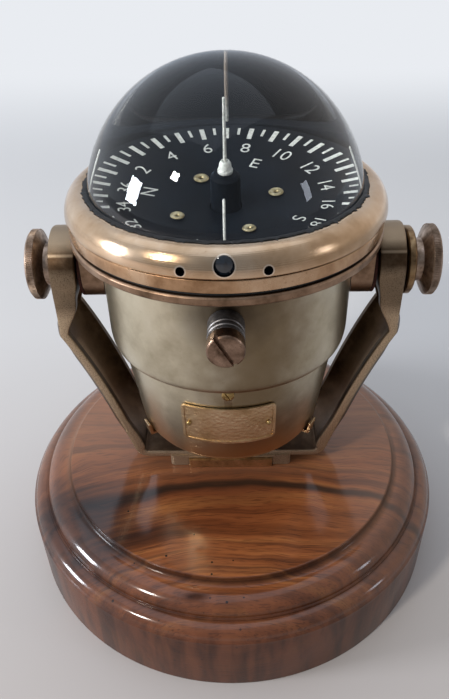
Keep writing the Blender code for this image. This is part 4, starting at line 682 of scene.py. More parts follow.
def copies_tree():
    """Geometry nodes: copies of one piece, each moved and turned on from the last."""
    tree = bpy.data.node_groups.new("row_of_copies", "GeometryNodeTree")
    add = partial(put, tree)
    for name, kind in (("Piece", "Geometry"), ("Copies", "Int"), ("First Turn", "Float"),
                       ("Turn Step", "Float"), ("Across", "Float"), ("Per Row", "Int"),
                       ("Row Step", "Float"), ("Finish", "Material")):
        tree.interface.new_socket(name, in_out="INPUT", socket_type="NodeSocket" + kind)
    tree.interface.new_socket("Result", in_out="OUTPUT", socket_type="NodeSocketGeometry")
    given = tree.nodes.new("NodeGroupInput").outputs
    number = add("GeometryNodeInputIndex")
    turn = add("Math MULTIPLY_ADD", number, given["Turn Step"], given["First Turn"])
    column = add("Math MODULO", number, given["Per Row"])
    part = add("Math DIVIDE", number, given["Per Row"])
    row = add("Math FLOOR", part)
    x = add("Math MULTIPLY", column, given["Across"])
    y = add("Math MULTIPLY", row, given["Row Step"])
    spot = add("CombineXYZ", x, y)
    angle = add("CombineXYZ", Z=turn)
    points = add("GeometryNodePoints", Count=given["Copies"], Position=spot)
    standing = add("GeometryNodeInstanceOnPoints", Points=points, Instance=given["Piece"], Rotation=angle)
    real = add("GeometryNodeRealizeInstances", standing)
    painted = add("GeometryNodeSetMaterial", Geometry=real, Material=given["Finish"])
    feed(tree.nodes.new("NodeGroupOutput"), painted)
    return tree


row_of_copies = copies_tree()


def repeated(name, one, finish, copies, first_turn=0.0, turn_step=0.0, across=0.0, per_row=1,
             row_step=0.0, turn=None):
    """A piece made of copies of one shape, in millimetres. Its first copy stands where that is."""
    source = bpy.data.objects.new(name + "_one", as_mesh(name + "_one", one))
    bpy.context.scene.collection.objects.link(source)
    modifier = source.modifiers.new("copies", "NODES")
    modifier.node_group = row_of_copies
    values = {"Copies": copies, "First Turn": math.radians(first_turn), "Turn Step": math.radians(turn_step),
              "Across": across, "Per Row": per_row, "Row Step": row_step, "Finish": finish}
    for item in row_of_copies.interface.items_tree:
        if item.name in values:
            modifier[item.identifier] = values[item.name]
    graph = bpy.context.evaluated_depsgraph_get()
    result = bpy.data.meshes.new_from_object(source.evaluated_get(graph))
    bpy.data.objects.remove(source)
    return settle(name, result, finish, turn=turn)


FOOT_SCREW_SEAT = 54.9
screw_mesh = slotted_screw(2.0, 4.0, 2.6, 25.7, 1.0, 1.3)
foot_screws = repeated("foot_screws_slotted", screw_mesh, plate_brass, 4, 20, 70, 26.0, 2, 18.0,
                       turn=placed(-13.0, -9.0, FOOT_SCREW_SEAT))
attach(foot_screws, "base")
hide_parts("foot_screw_left_front", "foot_screw_left_rear", "foot_screw_right_front", "foot_screw_right_rear")

# ------------------------------------------------------------------ tilt clamps
# Each side has a knurled bronze knob whose stud goes through the boss into the bowl's
# lug, with a fibre washer between. The right side also has a plain brass lock disc.
KNOB_R = 14.5
KNOB_RIM_T = 3.7
KNOB_SEAT_LEFT = 70.6
KNOB_SEAT_RIGHT = 75.2
HUB_R = 8.8
HUB_L = 5.9
HUB_CONE_L = 2.2
STUD_R = 4.0
STUD_END = 52.6
KNURL_PITCH_MM = 0.75
KNURL_HIGH = 0.32

# Bronze darkened by hands and salt: brown, with a greasy sheen.
knob_bronze = aged_metal("dark_knurled_bronze", "#b5a090", "#917d6c", "#5c4a3e", (0.32, 0.5), 4.0, 0.4, 0.04, "X")
for name, body, turn, seat in (("left", "left_knob", ALONG_MINUS_X, KNOB_SEAT_LEFT),
                               ("right", "right_knob", ALONG_X, KNOB_SEAT_RIGHT)):
    low = seat + HUB_L
    high = low + KNOB_RIM_T
    rim = KNOB_R - KNURL_HIGH
    outline = [(0, STUD_END), (STUD_R - 0.8, STUD_END), (STUD_R, STUD_END + 0.8), (STUD_R, seat), (HUB_R, seat),
               (HUB_R, low - HUB_CONE_L), (KNOB_R - 0.9, low - 0.1), (rim, low + 0.5), (rim, high - 0.8),
               (KNOB_R - 0.9, high), (KNOB_R - 2.6, high), (KNOB_R - 3.4, high - 0.5), (HUB_R + 0.5, high - 0.5),
               (HUB_R, high), (HUB_R - 1.2, high), (HUB_R - 1.6, high - 0.8), (0, high - 0.8)]
    knob = settle(name + "_knob_turned", lathe(eased(outline, 0.25), 128, AT_AXIS @ turn), knob_bronze)
    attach(knob, body)
    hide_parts(name + "_clamp_knob")
    count = round(math.tau * KNOB_R / KNURL_PITCH_MM)
    half = KNURL_PITCH_MM * 0.42
    tooth = prism([(rim - 0.2, -half), (rim, -half), (KNOB_R, -half * 0.25), (KNOB_R, half * 0.25),
                   (rim, half), (rim - 0.2, half)], low + 0.35, high - 0.75)
    knurl = repeated(name + "_knob_knurl", tooth, knob_bronze, count, 0, 360 / count, turn=AT_AXIS @ turn)
    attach(knurl, body)

# Disc of the same brass as the bowl, darker from handling.
DISC_R = 14.0
disc_brass = aged_metal("dark_turned_brass", "#a88e6c", "#866c4e", "#4a3828", (0.28, 0.42), 5.0, 0.35, 0.04, "X")
outline = [(STUD_HOLE_R, 70.6), (9.5, 70.6), (9.5, 71.7), (DISC_R - 0.6, 71.7), (DISC_R, 72.3),
           (DISC_R, 74.3), (DISC_R - 0.6, 74.9), (STUD_HOLE_R, 74.9)]
disc = settle("lock_disc_turned", lathe(eased(outline, 0.3), 128, AT_AXIS @ ALONG_X), disc_brass)
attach(disc, "base")
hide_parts("right_lock_disc")


def speckled(name, grain_mm, detail, stops, strength=0.0, depth_mm=0.0, **fixed):
    """A finish whose colour wanders a little. Its bump, if any, has the same grain."""
    made, shader, where, add = finish_start(name)
    grain = add("TexNoise", where, 1 / (grain_mm * MM), detail)
    feed(shader, Base_Color=add("ValToRGB", grain, stops=stops), **fixed)
    if depth_mm:
        feed(shader, Normal=add("Bump", Height=grain, Strength=strength, Distance=depth_mm * MM))
    return made


def hoop(inner_r, outer_r, low, high):
    """The closed outline of a plain ring, for the lathe."""
    return [(inner_r, low), (outer_r, low), (outer_r, high), (inner_r, high)]


# Vulcanised fibre: dull red-brown, slightly woolly.
fibre = speckled("red_vulcanised_fibre", 0.6, 3.0, [(0.3, "#2e130d"), (0.7, "#54281d")], 0.4, 0.05, Roughness=0.85)
outline = eased(hoop(STUD_HOLE_R, 13.0, 58.6, 59.7), 0.15)
for name, turn in (("left", ALONG_MINUS_X), ("right", ALONG_X)):
    washer = settle(name + "_washer_cut", lathe(outline, 64, AT_AXIS @ turn), fibre)
    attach(washer, "base")
    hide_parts(name + "_friction_washer")

# ------------------------------------------------------------------ upper bowl
# The chamber that holds the liquid: a thick brass bowl, turned all over, with a rounded
# lower edge, a floor, and a spigot under it for the lower casing. Its lacquer has gone,
# and the brass is dull, greenish and stained round the filler.
BOWL_R = 50.9
BOWL_BORE_R = 48.4
BOWL_TOP_Z = 168.8
SEAM_Z = 119.4
SEAM_R = 49.7
SHOULDER_H = 6.0
FLOOR_Z = 122.4
SPIGOT_R = 44.4
SPIGOT_BORE_R = 42.0
SPIGOT_Z = 112.8
FLOOR_BORE_R = 28.0
CASING_SCREW_Z = 116.0
CASING_BORE_R = 1.6
CASING_SCREW_ANGLES = (-90.0, 30.0, 150.0)
FILLER_Z = 151.4
FILLER_BORE_R = 4.5


def paint_inside(finish, rings, holes=(), rim=None):
    """Black paint within rings round the main axis (radius, low, high). Bores of the front
    (point, direction, radius) are black inside, grime with painted shade, and a ring of the
    rim colour round each is a painted highlight on its worn edge."""
    shader, where, add = opened(finish)
    x, y, z = add("SeparateXYZ", where).outputs
    away = add("VectorMath LENGTH", add("CombineXYZ", x, y))
    front = add("Math LESS_THAN", y, 0.0)
    colour = shader.inputs["Base Color"].links[0].from_socket
    masks = []
    for radius, low, high in rings:
        within = add("Math LESS_THAN", away, radius * MM)
        above = add("Math GREATER_THAN", z, low * MM)
        below = add("Math LESS_THAN", z, high * MM)
        both = add("Math MULTIPLY", above, below)
        masks.append(add("Math MULTIPLY", both, within))
    for point, along, radius in holes:
        off = add("VectorMath SUBTRACT", where, tuple(Vector(point) * MM))
        crossed = add("VectorMath CROSS_PRODUCT", off, tuple(along))
        far = add("VectorMath LENGTH", crossed)
        # A bright ring round each bore is a painted highlight on its worn rim.
        edge = add("MapRange", far, (radius + 0.55) * MM, (radius + 0.4) * MM, 0.0, 0.8)
        bright = add("Math MULTIPLY", edge, front)
        colour = add("Mix RGBA", bright, colour, linear(rim))
        # Inside each bore, black stands for grime and painted shade.
        inside = add("Math LESS_THAN", far, (radius + 0.03) * MM)
        masks.append(add("Math MULTIPLY", inside, front))
    mask = masks[0]
    for other in masks[1:]:
        mask = add("Math MAXIMUM", mask, other)
    painted = add("Mix RGBA", mask, colour, linear("#05080e"))
    metal = add("Math SUBTRACT", 1.0, mask)
    feed(shader, Base_Color=painted, Metallic=metal, Specular_IOR_Level=0.1)


# Dull turned brass: greenish and even, browner in patches, with fine lathe rings, and a
# darker band right of the middle that is painted shade.
dull_brass = aged_metal("dull_greenish_brass", "#e3dcc8", "#d2c9b1", "#ada28a", (0.27, 0.38), 30.0, 0.35, 0.02)
shader, where, add = opened(dull_brass)
away = add("VectorMath DISTANCE", where, (0.0, -BOWL_R * MM, (FILLER_Z + 6) * MM))
cloud = add("TexNoise", where, 1 / (8 * MM), 4.0)
ragged = add("Math MULTIPLY_ADD", cloud, 0.012, away)
stain = add("MapRange", ragged, 0.013, 0.028, 0.75, 0.0)
x, y, z = add("SeparateXYZ", where).outputs
# A darker band down the right of the middle is painted shade, standing for the darker side of the lighting.
turning = add("Math MULTIPLY_ADD", cloud, 0.016, x)
from_middle = add("Math ABSOLUTE", add("Math SUBTRACT", turning, 0.019))
painted_shade_band = add("MapRange SMOOTHSTEP", from_middle, 0.005, 0.036, 0.85, 0.08)
below = add("MapRange SMOOTHSTEP", z, 0.092, 0.074, 0.0, 0.75)
stained = shader.inputs["Base Color"].links[0].from_socket
for mask, tint in ((painted_shade_band, "#6a5537"), (below, "#c29a6a"), (stain, "#3c3228")):
    stained = add("Mix RGBA", mask, stained, linear(tint))
feed(shader, Base_Color=stained)
paint_inside(dull_brass, [(BOWL_BORE_R + 0.6, SEAM_Z, 190.0)])



def cross_bores(radius, near, far, height, angles):
    """Tools for bores square to the main axis, from near to far of it, at those angles."""
    return [prism(round_outline(radius, 24), near, far, placed(0, 0, height) @ turned(a) @ ALONG_X)
            for a in angles]


outline = [(BOWL_BORE_R, BOWL_TOP_Z), (BOWL_BORE_R, FLOOR_Z + 3), (BOWL_BORE_R - 3, FLOOR_Z),
           (FLOOR_BORE_R, FLOOR_Z), (FLOOR_BORE_R, SEAM_Z), (SPIGOT_BORE_R, SEAM_Z),
           (SPIGOT_BORE_R, SPIGOT_Z), (SPIGOT_R, SPIGOT_Z), (SPIGOT_R, SEAM_Z)]
outline += arc(SEAM_R, SEAM_Z + SHOULDER_H, BOWL_R - SEAM_R, SHOULDER_H, -90, 0, 10)
outline.append((BOWL_R, BOWL_TOP_Z))
bowl = settle("upper_bowl_turned", lathe(eased(outline, 0.35), 180), dull_brass)
bore = prism(round_outline(FILLER_BORE_R, 40), 46.4, 52.9, placed(0, 0, FILLER_Z) @ ALONG_MINUS_Y)
carve(bowl, cross_bores(CASING_BORE_R, 41.0, 45.4, CASING_SCREW_Z, CASING_SCREW_ANGLES) + [bore])
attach(bowl, "bowl")
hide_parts("upper_bowl")

# ------------------------------------------------------------------ flange ring and lugs
# A bronze ring is sweated round the top of the bowl, in one piece with the two lugs that
# the clamp studs screw into. It is machined, pinker than the brass and a little greasy.
FLANGE_R = 61.3
FLANGE_Z = 165.1
FLANGE_TOP_Z = 168.8
LUG_R = 13.0
LUG_FACE_X = 58.3
lug_bronze = aged_metal("machined_pink_bronze", "#a58a73", "#8a705b", "#54412f", (0.30, 0.44), 9.0, 0.3, 0.03)
outline = [(BOWL_R - 4, FLANGE_Z), (FLANGE_R - 0.8, FLANGE_Z), (FLANGE_R, FLANGE_Z + 0.8),
           (FLANGE_R, FLANGE_TOP_Z - 0.6), (FLANGE_R - 0.6, FLANGE_TOP_Z), (BOWL_R - 4, FLANGE_TOP_Z)]
flange = settle("flange_and_lugs", lathe(eased(outline, 0.4), 180), lug_bronze)
lug_rise = FLANGE_Z + 1.85 - AXIS_Z
lug_outline = [(-LUG_R, lug_rise)] + arc(0, 0, LUG_R, LUG_R, 180, 360, 40) + [(LUG_R, lug_rise)]
upright = turned(90)
carve(flange, [prism(lug_outline, BOWL_R - 6, LUG_FACE_X, AT_AXIS @ ALONG_X @ upright),
               prism(lug_outline, BOWL_R - 6, LUG_FACE_X, AT_AXIS @ ALONG_MINUS_X @ upright.inverted())], "UNION")
carve(flange, [prism(round_outline(BOWL_R + 0.3, 180), AXIS_Z - LUG_R - 2, FLANGE_TOP_Z + 2, turned(1))])
carve(flange, [prism(round_outline(STUD_HOLE_R), LUG_FACE_X - 6.0, LUG_FACE_X + 1, AT_AXIS @ turn)
               for turn in (ALONG_X, ALONG_MINUS_X)])
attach(flange, "bowl")
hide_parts("bowl_flange")

# ------------------------------------------------------------------ gasket, band and bezel
# A rubber gasket shows as a dark line between the flange ring and the clamp band. Above
# it the bezel, a thick ring with a round back, is screwed down on the dome's flange.
# Both are rose-coloured bronze, polished on the lathe and then worn by hands.
rubber = speckled("aged_black_rubber", 0.7, 3.0, [(0.35, "#08080a"), (0.75, "#1e1e1e")], 0.6, 0.12, Roughness=0.6)
gasket = settle("gasket_ring", lathe(eased(hoop(49.4, 60.0, 169.1, 170.0), 0.2), 180), rubber)
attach(gasket, "bowl")
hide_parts("rim_gasket")

rose_bronze = aged_metal("polished_rose_bronze", "#dcc3a7", "#caab8a", "#a98762", (0.15, 0.21), 24.0, 0.3, 0.10)
feed(opened(rose_bronze)[0], Coat_Weight=0.2, Coat_Roughness=0.1)
band_bronze = aged_metal("brown_band_bronze", "#d9bb9b", "#bb9775", "#8a6849", (0.22, 0.36), 16.0, 0.25, 0.02)
paint_inside(band_bronze, [(58.9, 170.0, 174.6)])
band = settle("clamp_band_turned", lathe(eased(hoop(58.3, 61.1, 170.3, 175.1), 0.5), 180), band_bronze)
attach(band, "bowl")
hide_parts("clamp_band")

BEZEL_Z = 175.4
BEZEL_TOP_Z = 184.7
BEZEL_R = 61.8
BEZEL_LIP_R = 54.6
BEZEL_INNER_R = 53.8
BEZEL_SKIRT_R = 58.0
BEZEL_SKIRT_Z = 173.6
DOME_R = 53.2
DOME_Z = 175.8
SEAT_Z = 183.1
PORT_R = 3.3
PORT_Z = 180.2
PORT_TILT = 10.0
SIDE_BORE_R = 1.5
SIDE_BORE_Z = 178.1
SIDE_BORE_ANGLE = 13.1
lip = BEZEL_LIP_R + 0.6
port_rise = (PORT_Z - BEZEL_Z - 0.8) / (BEZEL_TOP_Z - BEZEL_Z - 0.8)
PORT_REACH = lip + (BEZEL_R - lip) * math.sqrt(1 - port_rise ** 2)
outline = [(DOME_R + 0.3, BEZEL_SKIRT_Z), (BEZEL_SKIRT_R, BEZEL_SKIRT_Z), (BEZEL_SKIRT_R, BEZEL_Z),
           (BEZEL_R - 0.8, BEZEL_Z)]
outline += arc(lip, BEZEL_Z + 0.8, BEZEL_R - lip, BEZEL_TOP_Z - BEZEL_Z - 0.8, 0, 90, 22)
outline += [(BEZEL_INNER_R, BEZEL_TOP_Z - 0.15), (BEZEL_INNER_R, SEAT_Z), (DOME_R + 0.3, SEAT_Z)]
bezel = settle("bezel_polished", lathe(eased(outline, 0.4), 200), rose_bronze, 34)
port_turn = placed(0, -PORT_REACH, PORT_Z) @ turned(-90) @ turned(90 - PORT_TILT, "Y") @ upright
tools = [lathe(hoop(0, PORT_R, -3.0, 2.3), 64, port_turn)]
bores = [(port_turn.translation, port_turn.to_3x3() @ Vector((0, 0, 1)), PORT_R)]
for side in (-1, 1):
    turn = placed(0, 0, SIDE_BORE_Z) @ turned(-90 + side * SIDE_BORE_ANGLE) @ ALONG_X
    tools.append(lathe(hoop(0, SIDE_BORE_R, BEZEL_R - 4, BEZEL_R + 1.1), 40, turn))
    bores.append((turn.translation, turn.to_3x3() @ Vector((0, 0, 1)), SIDE_BORE_R))
# The bores' rims are painted bright as a painted highlight.
paint_inside(rose_bronze, [(BEZEL_INNER_R + 0.3, 170.0, 184.2), (58.9, 170.0, 174.4)], bores, "#f0dcc6")
carve(bezel, tools, sharp=34)
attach(bezel, "bowl")
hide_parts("bezel")

# ------------------------------------------------------------------ lamp window
# A small disc of dark blue glass, slightly domed, sits in the port in the front of the
# bezel. It is the window for the lamp that lights the card.
window_glass = speckled("dark_blue_glass", 1.5, 2.0, [(0.3, "#0a0e14"), (0.7, "#1c2530")],
                        Roughness=0.08, Coat_Weight=1.0)
outline = [(0, -2.9), (3.25, -2.9), (3.25, -1.4)] + arc(0, -1.4, 3.25, 0.6, 8, 90, 8)
window = settle("lamp_window_glass", lathe(outline, 48, port_turn), window_glass)
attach(window, "bowl")
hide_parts("lamp_window")

# ------------------------------------------------------------------ dome and liquid
# The dome is blown clear acrylic. The chamber behind it is full of clear liquid, so dome
# and liquid bend the light together as one solid lens, and the card looks larger and
# higher than it is. Its lower part is hidden in the gasket and the bowl.
clear, shader, where, add = finish_start("clear_acrylic_and_liquid")
feed(shader, Base_Color=linear("#fbfcfd"), Transmission_Weight=1.0, Roughness=0.0, IOR=1.37,
     Specular_IOR_Level=1.0, Coat_Weight=0.12, Coat_Roughness=0.0)
open_air = add("BsdfTransparent", Color=linear("#f4f6f7"))
choice = add("MixShader", add("LightPath").outputs["Is Shadow Ray"], shader, open_air)
feed(clear.node_tree.nodes["Material Output"], Surface=choice)
DOME_FLANGE_R = 57.8
outline = [(0, FLOOR_Z - 0.1), (BOWL_BORE_R + 0.1, FLOOR_Z - 0.1), (BOWL_BORE_R + 0.1, 168.9),
           (49.5, 168.9), (49.5, 170.3), (DOME_FLANGE_R, 170.3), (DOME_FLANGE_R, 173.3), (DOME_R, 173.3)]
outline += arc(0, DOME_Z, DOME_R, DOME_R, 0, 90, 112)
dome = settle("dome_and_liquid", lathe(outline, 360), clear, 40)
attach(dome, "bowl")
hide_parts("dome")

# ------------------------------------------------------------------ sealant
# Black compound fills the gap between the dome and the bezel. It was squeezed up over
# the edge and trimmed with a knife, so its upper edge is ragged.
BEAD_Z = 184.7
RAGGED_MM = 2.2
SEAT = 183.35
seat_r = math.sqrt(DOME_R ** 2 - (SEAT - DOME_Z) ** 2) - 0.1
rings = []
for i in range(480):
    a = math.tau * i / 480
    spot = Vector((math.cos(a), math.sin(a), 0))
    wander = noise.noise(spot * 11.0) * 0.5 + noise.noise(spot * 38.0 + Vector((3, 1, 7))) * 0.6
    crumbs = noise.noise(spot * 24.0 + Vector((9, 2, 5))) * 0.6 + noise.noise(spot * 70.0) * 0.7
    top = BEAD_Z + 0.2 + 0.3 * wander
    close = math.sqrt(DOME_R ** 2 - (top - DOME_Z) ** 2) - 0.1
    edge = BEZEL_INNER_R + 0.15 + RAGGED_MM * max(crumbs, -0.05)
    ring = [(seat_r, SEAT), (BEZEL_INNER_R - 0.1, SEAT), (BEZEL_INNER_R - 0.1, BEAD_Z - 0.3),
            (edge, BEAD_Z), (edge - 0.05, BEAD_Z + 0.14), ((close + edge) / 2, top + 0.12),
            (close + 0.25, top + 0.06), (close, top)]
    rings.append([(r * spot.x, r * spot.y, z) for r, z in ring])
sealant = settle("sealant_bead", skin(rings, closed=True), rubber, 50)
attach(sealant, "bowl")
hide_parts("dome_sealant")

# Under the bead, the same compound lines the bezel's bore. Seen through the dome it makes
# the whole upper half look blue-black.
compound = speckled("blue_black_compound", 30.0, 1.0, [(0.3, "#04060a"), (0.7, "#06090e")], Roughness=0.7, IOR=1.1)
outline = [(DOME_R - 0.1, 173.7), (DOME_R + 0.2, 173.7), (DOME_R + 0.2, SEAT - 0.05)]
outline += [(math.sqrt(DOME_R ** 2 - (z - DOME_Z) ** 2) - 0.1, z)
            for z in (SEAT - 0.05, 182.0, 180.6, 179.2, 177.8, 176.4)]
lining = settle("sealant_lining", lathe(outline, 220), compound, 50)
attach(lining, "bowl")

# ------------------------------------------------------------------ lower casing
# A tapered brass can closes the compass underneath, pushed over the bowl's spigot and
# held by three small round-headed screws. A flat cover with three sprung ears shuts it.
CASING_TOP_R = 46.9
CASING_BOTTOM_R = 41.1
CASING_BOTTOM_Z = 75.0
CASING_TOP_Z = 119.1
CASING_WALL = 2.2
casing_slope = (CASING_TOP_R - CASING_BOTTOM_R) / (CASING_TOP_Z - CASING_BOTTOM_Z)


def casing_radius(z):
    """The radius of the tapered casing at a height."""
    return CASING_BOTTOM_R + casing_slope * (z - CASING_BOTTOM_Z)


outline = [(CASING_BOTTOM_R - CASING_WALL, CASING_BOTTOM_Z)]
outline += arc(CASING_BOTTOM_R - 1.6, CASING_BOTTOM_Z + 1.6, 1.6, 1.6, -90, -8, 8)
outline += [(CASING_TOP_R, CASING_TOP_Z), (CASING_TOP_R - CASING_WALL, CASING_TOP_Z),
            (CASING_TOP_R - CASING_WALL, SPIGOT_Z - 0.3)]
casing = settle("lower_casing_turned", lathe(eased(outline, 0.25), 180), dull_brass)
carve(casing, cross_bores(CASING_BORE_R, 40.0, 52.0, CASING_SCREW_Z, CASING_SCREW_ANGLES))
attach(casing, "bowl")
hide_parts("lower_casing")

# The small screws are of yellower brass and shine more than the casing.
screw_brass = aged_metal("worn_screw_brass", "#bfa574", "#a18656", "#5f4a2c", (0.26, 0.4), 3.0, 0.3, 0.02)
small_screw = slotted_screw(1.3, 2.5, 0.8, 4.9, 0.5, 0.6, 0.6)
small_screw.transform(placed(casing_radius(CASING_SCREW_Z) + 0.3, 0, 0) @ ALONG_X @ turned(35))
casing_screws = repeated("casing_screws_round", small_screw, screw_brass, 3, -90, 120,
                         turn=placed(0, 0, CASING_SCREW_Z))
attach(casing_screws, "bowl")
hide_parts("casing_screw_front", "casing_screw_left", "casing_screw_right")

COVER_Z = 72.5
COVER_TOP_Z = 74.7
cover_r = CASING_BOTTOM_R - 1.6
spigot_r = CASING_BOTTOM_R - CASING_WALL - 0.3
outline = [(0, COVER_Z + 0.4), (12.0, COVER_Z + 0.4), (13.0, COVER_Z), (cover_r - 1, COVER_Z),
           (cover_r, COVER_Z + 1), (cover_r, COVER_TOP_Z), (spigot_r, COVER_TOP_Z),
           (spigot_r, COVER_TOP_Z + 2), (spigot_r - 2, COVER_TOP_Z), (0, COVER_TOP_Z)]
cover = settle("bottom_cover_spun", lathe(eased(outline, 0.3), 160), dull_brass)
EAR_W = 5.0
EAR_T = 1.1
ear_in = CASING_BOTTOM_R + 0.3
ear_low = COVER_Z + 0.4
lean = 5.0 * casing_slope + 0.3
ear_high = ear_low + 6.1
outline = [(ear_in - 6, ear_low), (ear_in + EAR_T, ear_low), (ear_in + EAR_T + lean, ear_high),
           (ear_in + lean, ear_high), (ear_in, ear_low + EAR_T), (ear_in - 6, ear_low + EAR_T)]
carve(cover, [prism(eased(outline, 0.4), -EAR_W / 2, EAR_W / 2, turned(a) @ ALONG_MINUS_Y)
              for a in (90, 210, 330)], "UNION")
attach(cover, "bowl")
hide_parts("bottom_cover")

# ------------------------------------------------------------------ name plate
# A thin brass plate, rolled to the casing and pinned at both ends. It has a raised border
# round a sunk field. The field is left blank, with only the grain of the etching.
BADGE_HALF_W = 19.2
BADGE_HALF_H = 10.5
BADGE_Z = 97.5
BADGE_T = 0.9
BORDER = 1.2
SUNK = 0.35
etched = aged_metal("etched_plate_brass", "#dcc6a2", "#c6aa83", "#a1865f", (0.34, 0.44), 12.0, 0.6, 0.004)
shader, where, add = opened(etched)
pebbles = add("TexVoronoi SMOOTH_F1", where, 1 / (1.3 * MM))
feed(shader, Normal=add("Bump", Height=pebbles, Strength=0.6, Distance=0.2 * MM,
                        Normal=shader.inputs["Normal"].links[0].from_socket))


def rolled(half_w, half_h, corner, low, high, steps=48):
    """A bmesh of a slab with rounded corners, rolled round the casing."""
    rings = []
    for i in range(steps + 1):
        x = half_w * -math.cos(math.pi * i / steps)
        inset = max(0.0, abs(x) - (half_w - corner))
        drop = corner - math.sqrt(max(corner ** 2 - inset ** 2, 0.0))
        ring = []
        for up, proud in ((-1, low), (-1, high), (1, high), (1, low)):
            z = BADGE_Z + up * (half_h - drop)
            radius = casing_radius(z) + proud
            ring.append((x, -math.sqrt(radius ** 2 - x ** 2), z))
        rings.append(ring)
    return skin(rings)


face = 0.3 + BADGE_T
badge = settle("name_plate_blank", rolled(BADGE_HALF_W, BADGE_HALF_H, 2.2, 0.3, face), etched)
carve(badge, [rolled(BADGE_HALF_W - BORDER, BADGE_HALF_H - BORDER, 1.0, face - SUNK, face + 1)])
softened = badge.modifiers.new("edges", "BEVEL")
softened.width = 0.16 * MM
softened.segments = 2
softened.limit_method = "ANGLE"
softened.angle_limit = math.radians(45)
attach(badge, "bowl")
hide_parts("name_plate")
pin_seat = math.sqrt((casing_radius(BADGE_Z) + face - SUNK) ** 2 - 15.2 ** 2) + 0.1
outline = [(0, pin_seat - 4.2), (0.66, pin_seat - 4.2), (0.66, pin_seat), (1.1, pin_seat)]
outline += arc(0, pin_seat, 1.1, 0.9, 12, 90, 6)
for name, x in (("left", -16.3), ("right", 16.3)):
    shape = lathe(outline, 24, placed(x, 0, BADGE_Z) @ ALONG_MINUS_Y)
    pin = settle(name + "_plate_pin_round", shape, screw_brass)
    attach(pin, "bowl")
    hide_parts("plate_pin_" + name)

# ------------------------------------------------------------------ filler
# The filling hole has a short turned boss, closed by a bronze plug with a wide screwdriver
# slot. Brazing and old leaks have blackened the boss, while the plug's face is rubbed.
FILLER_R = 6.6
BOSS_ROOT = 47.9
BOSS_END = 61.2
PLUG_FACE = 67.1
SLOT_HALF_W = 0.85
FROM_FILLER = placed(0, 0, FILLER_Z) @ ALONG_MINUS_Y
boss_bronze = aged_metal("blackened_bronze", "#8f8c8c", "#6a6766", "#383534", (0.42, 0.6), 5.0, 0.4, 0.06, "Y")
outline = [(FILLER_BORE_R, BOSS_ROOT), (FILLER_R, BOSS_ROOT), (FILLER_R, 56.6), (FILLER_R - 0.3, 56.9),
           (FILLER_R - 0.3, 57.5), (FILLER_R, 57.8), (FILLER_R, 59.2), (FILLER_R - 0.3, 59.5),
           (FILLER_R - 0.3, BOSS_END), (FILLER_BORE_R, BOSS_END)]
boss = settle("filler_boss_turned", lathe(eased(outline, 0.12), 80, FROM_FILLER), boss_bronze)
carve(boss, [prism(round_outline(BOWL_R + 0.05, 180), FILLER_Z - 13, FILLER_Z + 13)])
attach(boss, "bowl")
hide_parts("filler_boss")
plug_bronze = aged_metal("rubbed_pink_bronze", "#9c8270", "#7d6656", "#4a392c", (0.24, 0.38), 4.0, 0.35, 0.03, "Y")
outline = [(0, 53.5), (3.7, 53.5), (4.2, 54.0), (4.2, 61.5), (FILLER_R, 61.5), (FILLER_R, PLUG_FACE - 0.6),
           (FILLER_R - 0.6, PLUG_FACE), (0, PLUG_FACE)]
plug = settle("filler_plug_slotted", lathe(eased(outline, 0.3), 80, FROM_FILLER), plug_bronze)
carve(plug, [prism(oblong(8, SLOT_HALF_W), PLUG_FACE - 1.6, PLUG_FACE + 1, FROM_FILLER @ turned(120))])
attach(plug, "bowl")
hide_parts("filler_plug")

# ------------------------------------------------------------------ gimbal and lubber ring
# Inside, a brass ring swings on two pins in the bowl. It carries a black ring, round the
# card, with four upright white wires: the marks that the card is read against.
GIMBAL_Z = 167.0
PIVOT_BORE_R = 1.5
gimbal_brass = aged_metal("blackened_inner_brass", "#15161a", "#0f1013", "#08090b", (0.35, 0.5), 10.0, 0.4, 0.03)
outline = eased(hoop(45.6, 47.1, GIMBAL_Z - 2.7, GIMBAL_Z + 2.7), 0.3)
gimbal = settle("gimbal_ring_turned", lathe(outline, 160), gimbal_brass)
carve(gimbal, cross_bores(PIVOT_BORE_R, 44.6, 48.1, GIMBAL_Z, range(0, 360, 90)))
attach(gimbal, "gimbal")
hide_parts("gimbal_ring")

# Stoving enamel on brass: black, satin, faintly dusty under the liquid.
black_enamel, shader, where, add = finish_start("black_stoving_enamel")
dust = add("TexNoise", where, 1 / (14 * MM), 2.0)
tint = add("ValToRGB", dust, stops=[(0.3, "#0d1116"), (0.75, "#151b22")])
gloss = add("MapRange", dust, 0.0, 1.0, 0.45, 0.55)
feed(shader, Base_Color=tint, IOR=1.12, Roughness=gloss)
LUBBER_R = 42.2
LUBBER_BORE_R = 39.6
HANGER_R = 4.0
outline = eased(hoop(LUBBER_BORE_R, LUBBER_R, 172.6, 179.0), 0.3)
lubber = settle("lubber_ring_black", lathe(outline, 160), black_enamel)
hanger = arc(0, 0, HANGER_R, HANGER_R, 180, 360, 20) + [(HANGER_R, 6.6), (-HANGER_R, 6.6)]
carve(lubber, [prism(hanger, LUBBER_BORE_R + 0.2, LUBBER_R - 0.2,
                     placed(0, 0, GIMBAL_Z) @ turned(a) @ ALONG_X @ upright) for a in (-90, 90)], "UNION")
carve(lubber, [prism(round_outline(PIVOT_BORE_R, 24), LUBBER_BORE_R - 1, LUBBER_R + 1,
                     placed(0, 0, GIMBAL_Z) @ turn) for turn in (ALONG_MINUS_Y.inverted(), ALONG_MINUS_Y)])
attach(lubber, "card_carrier")
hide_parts("lubber_ring")
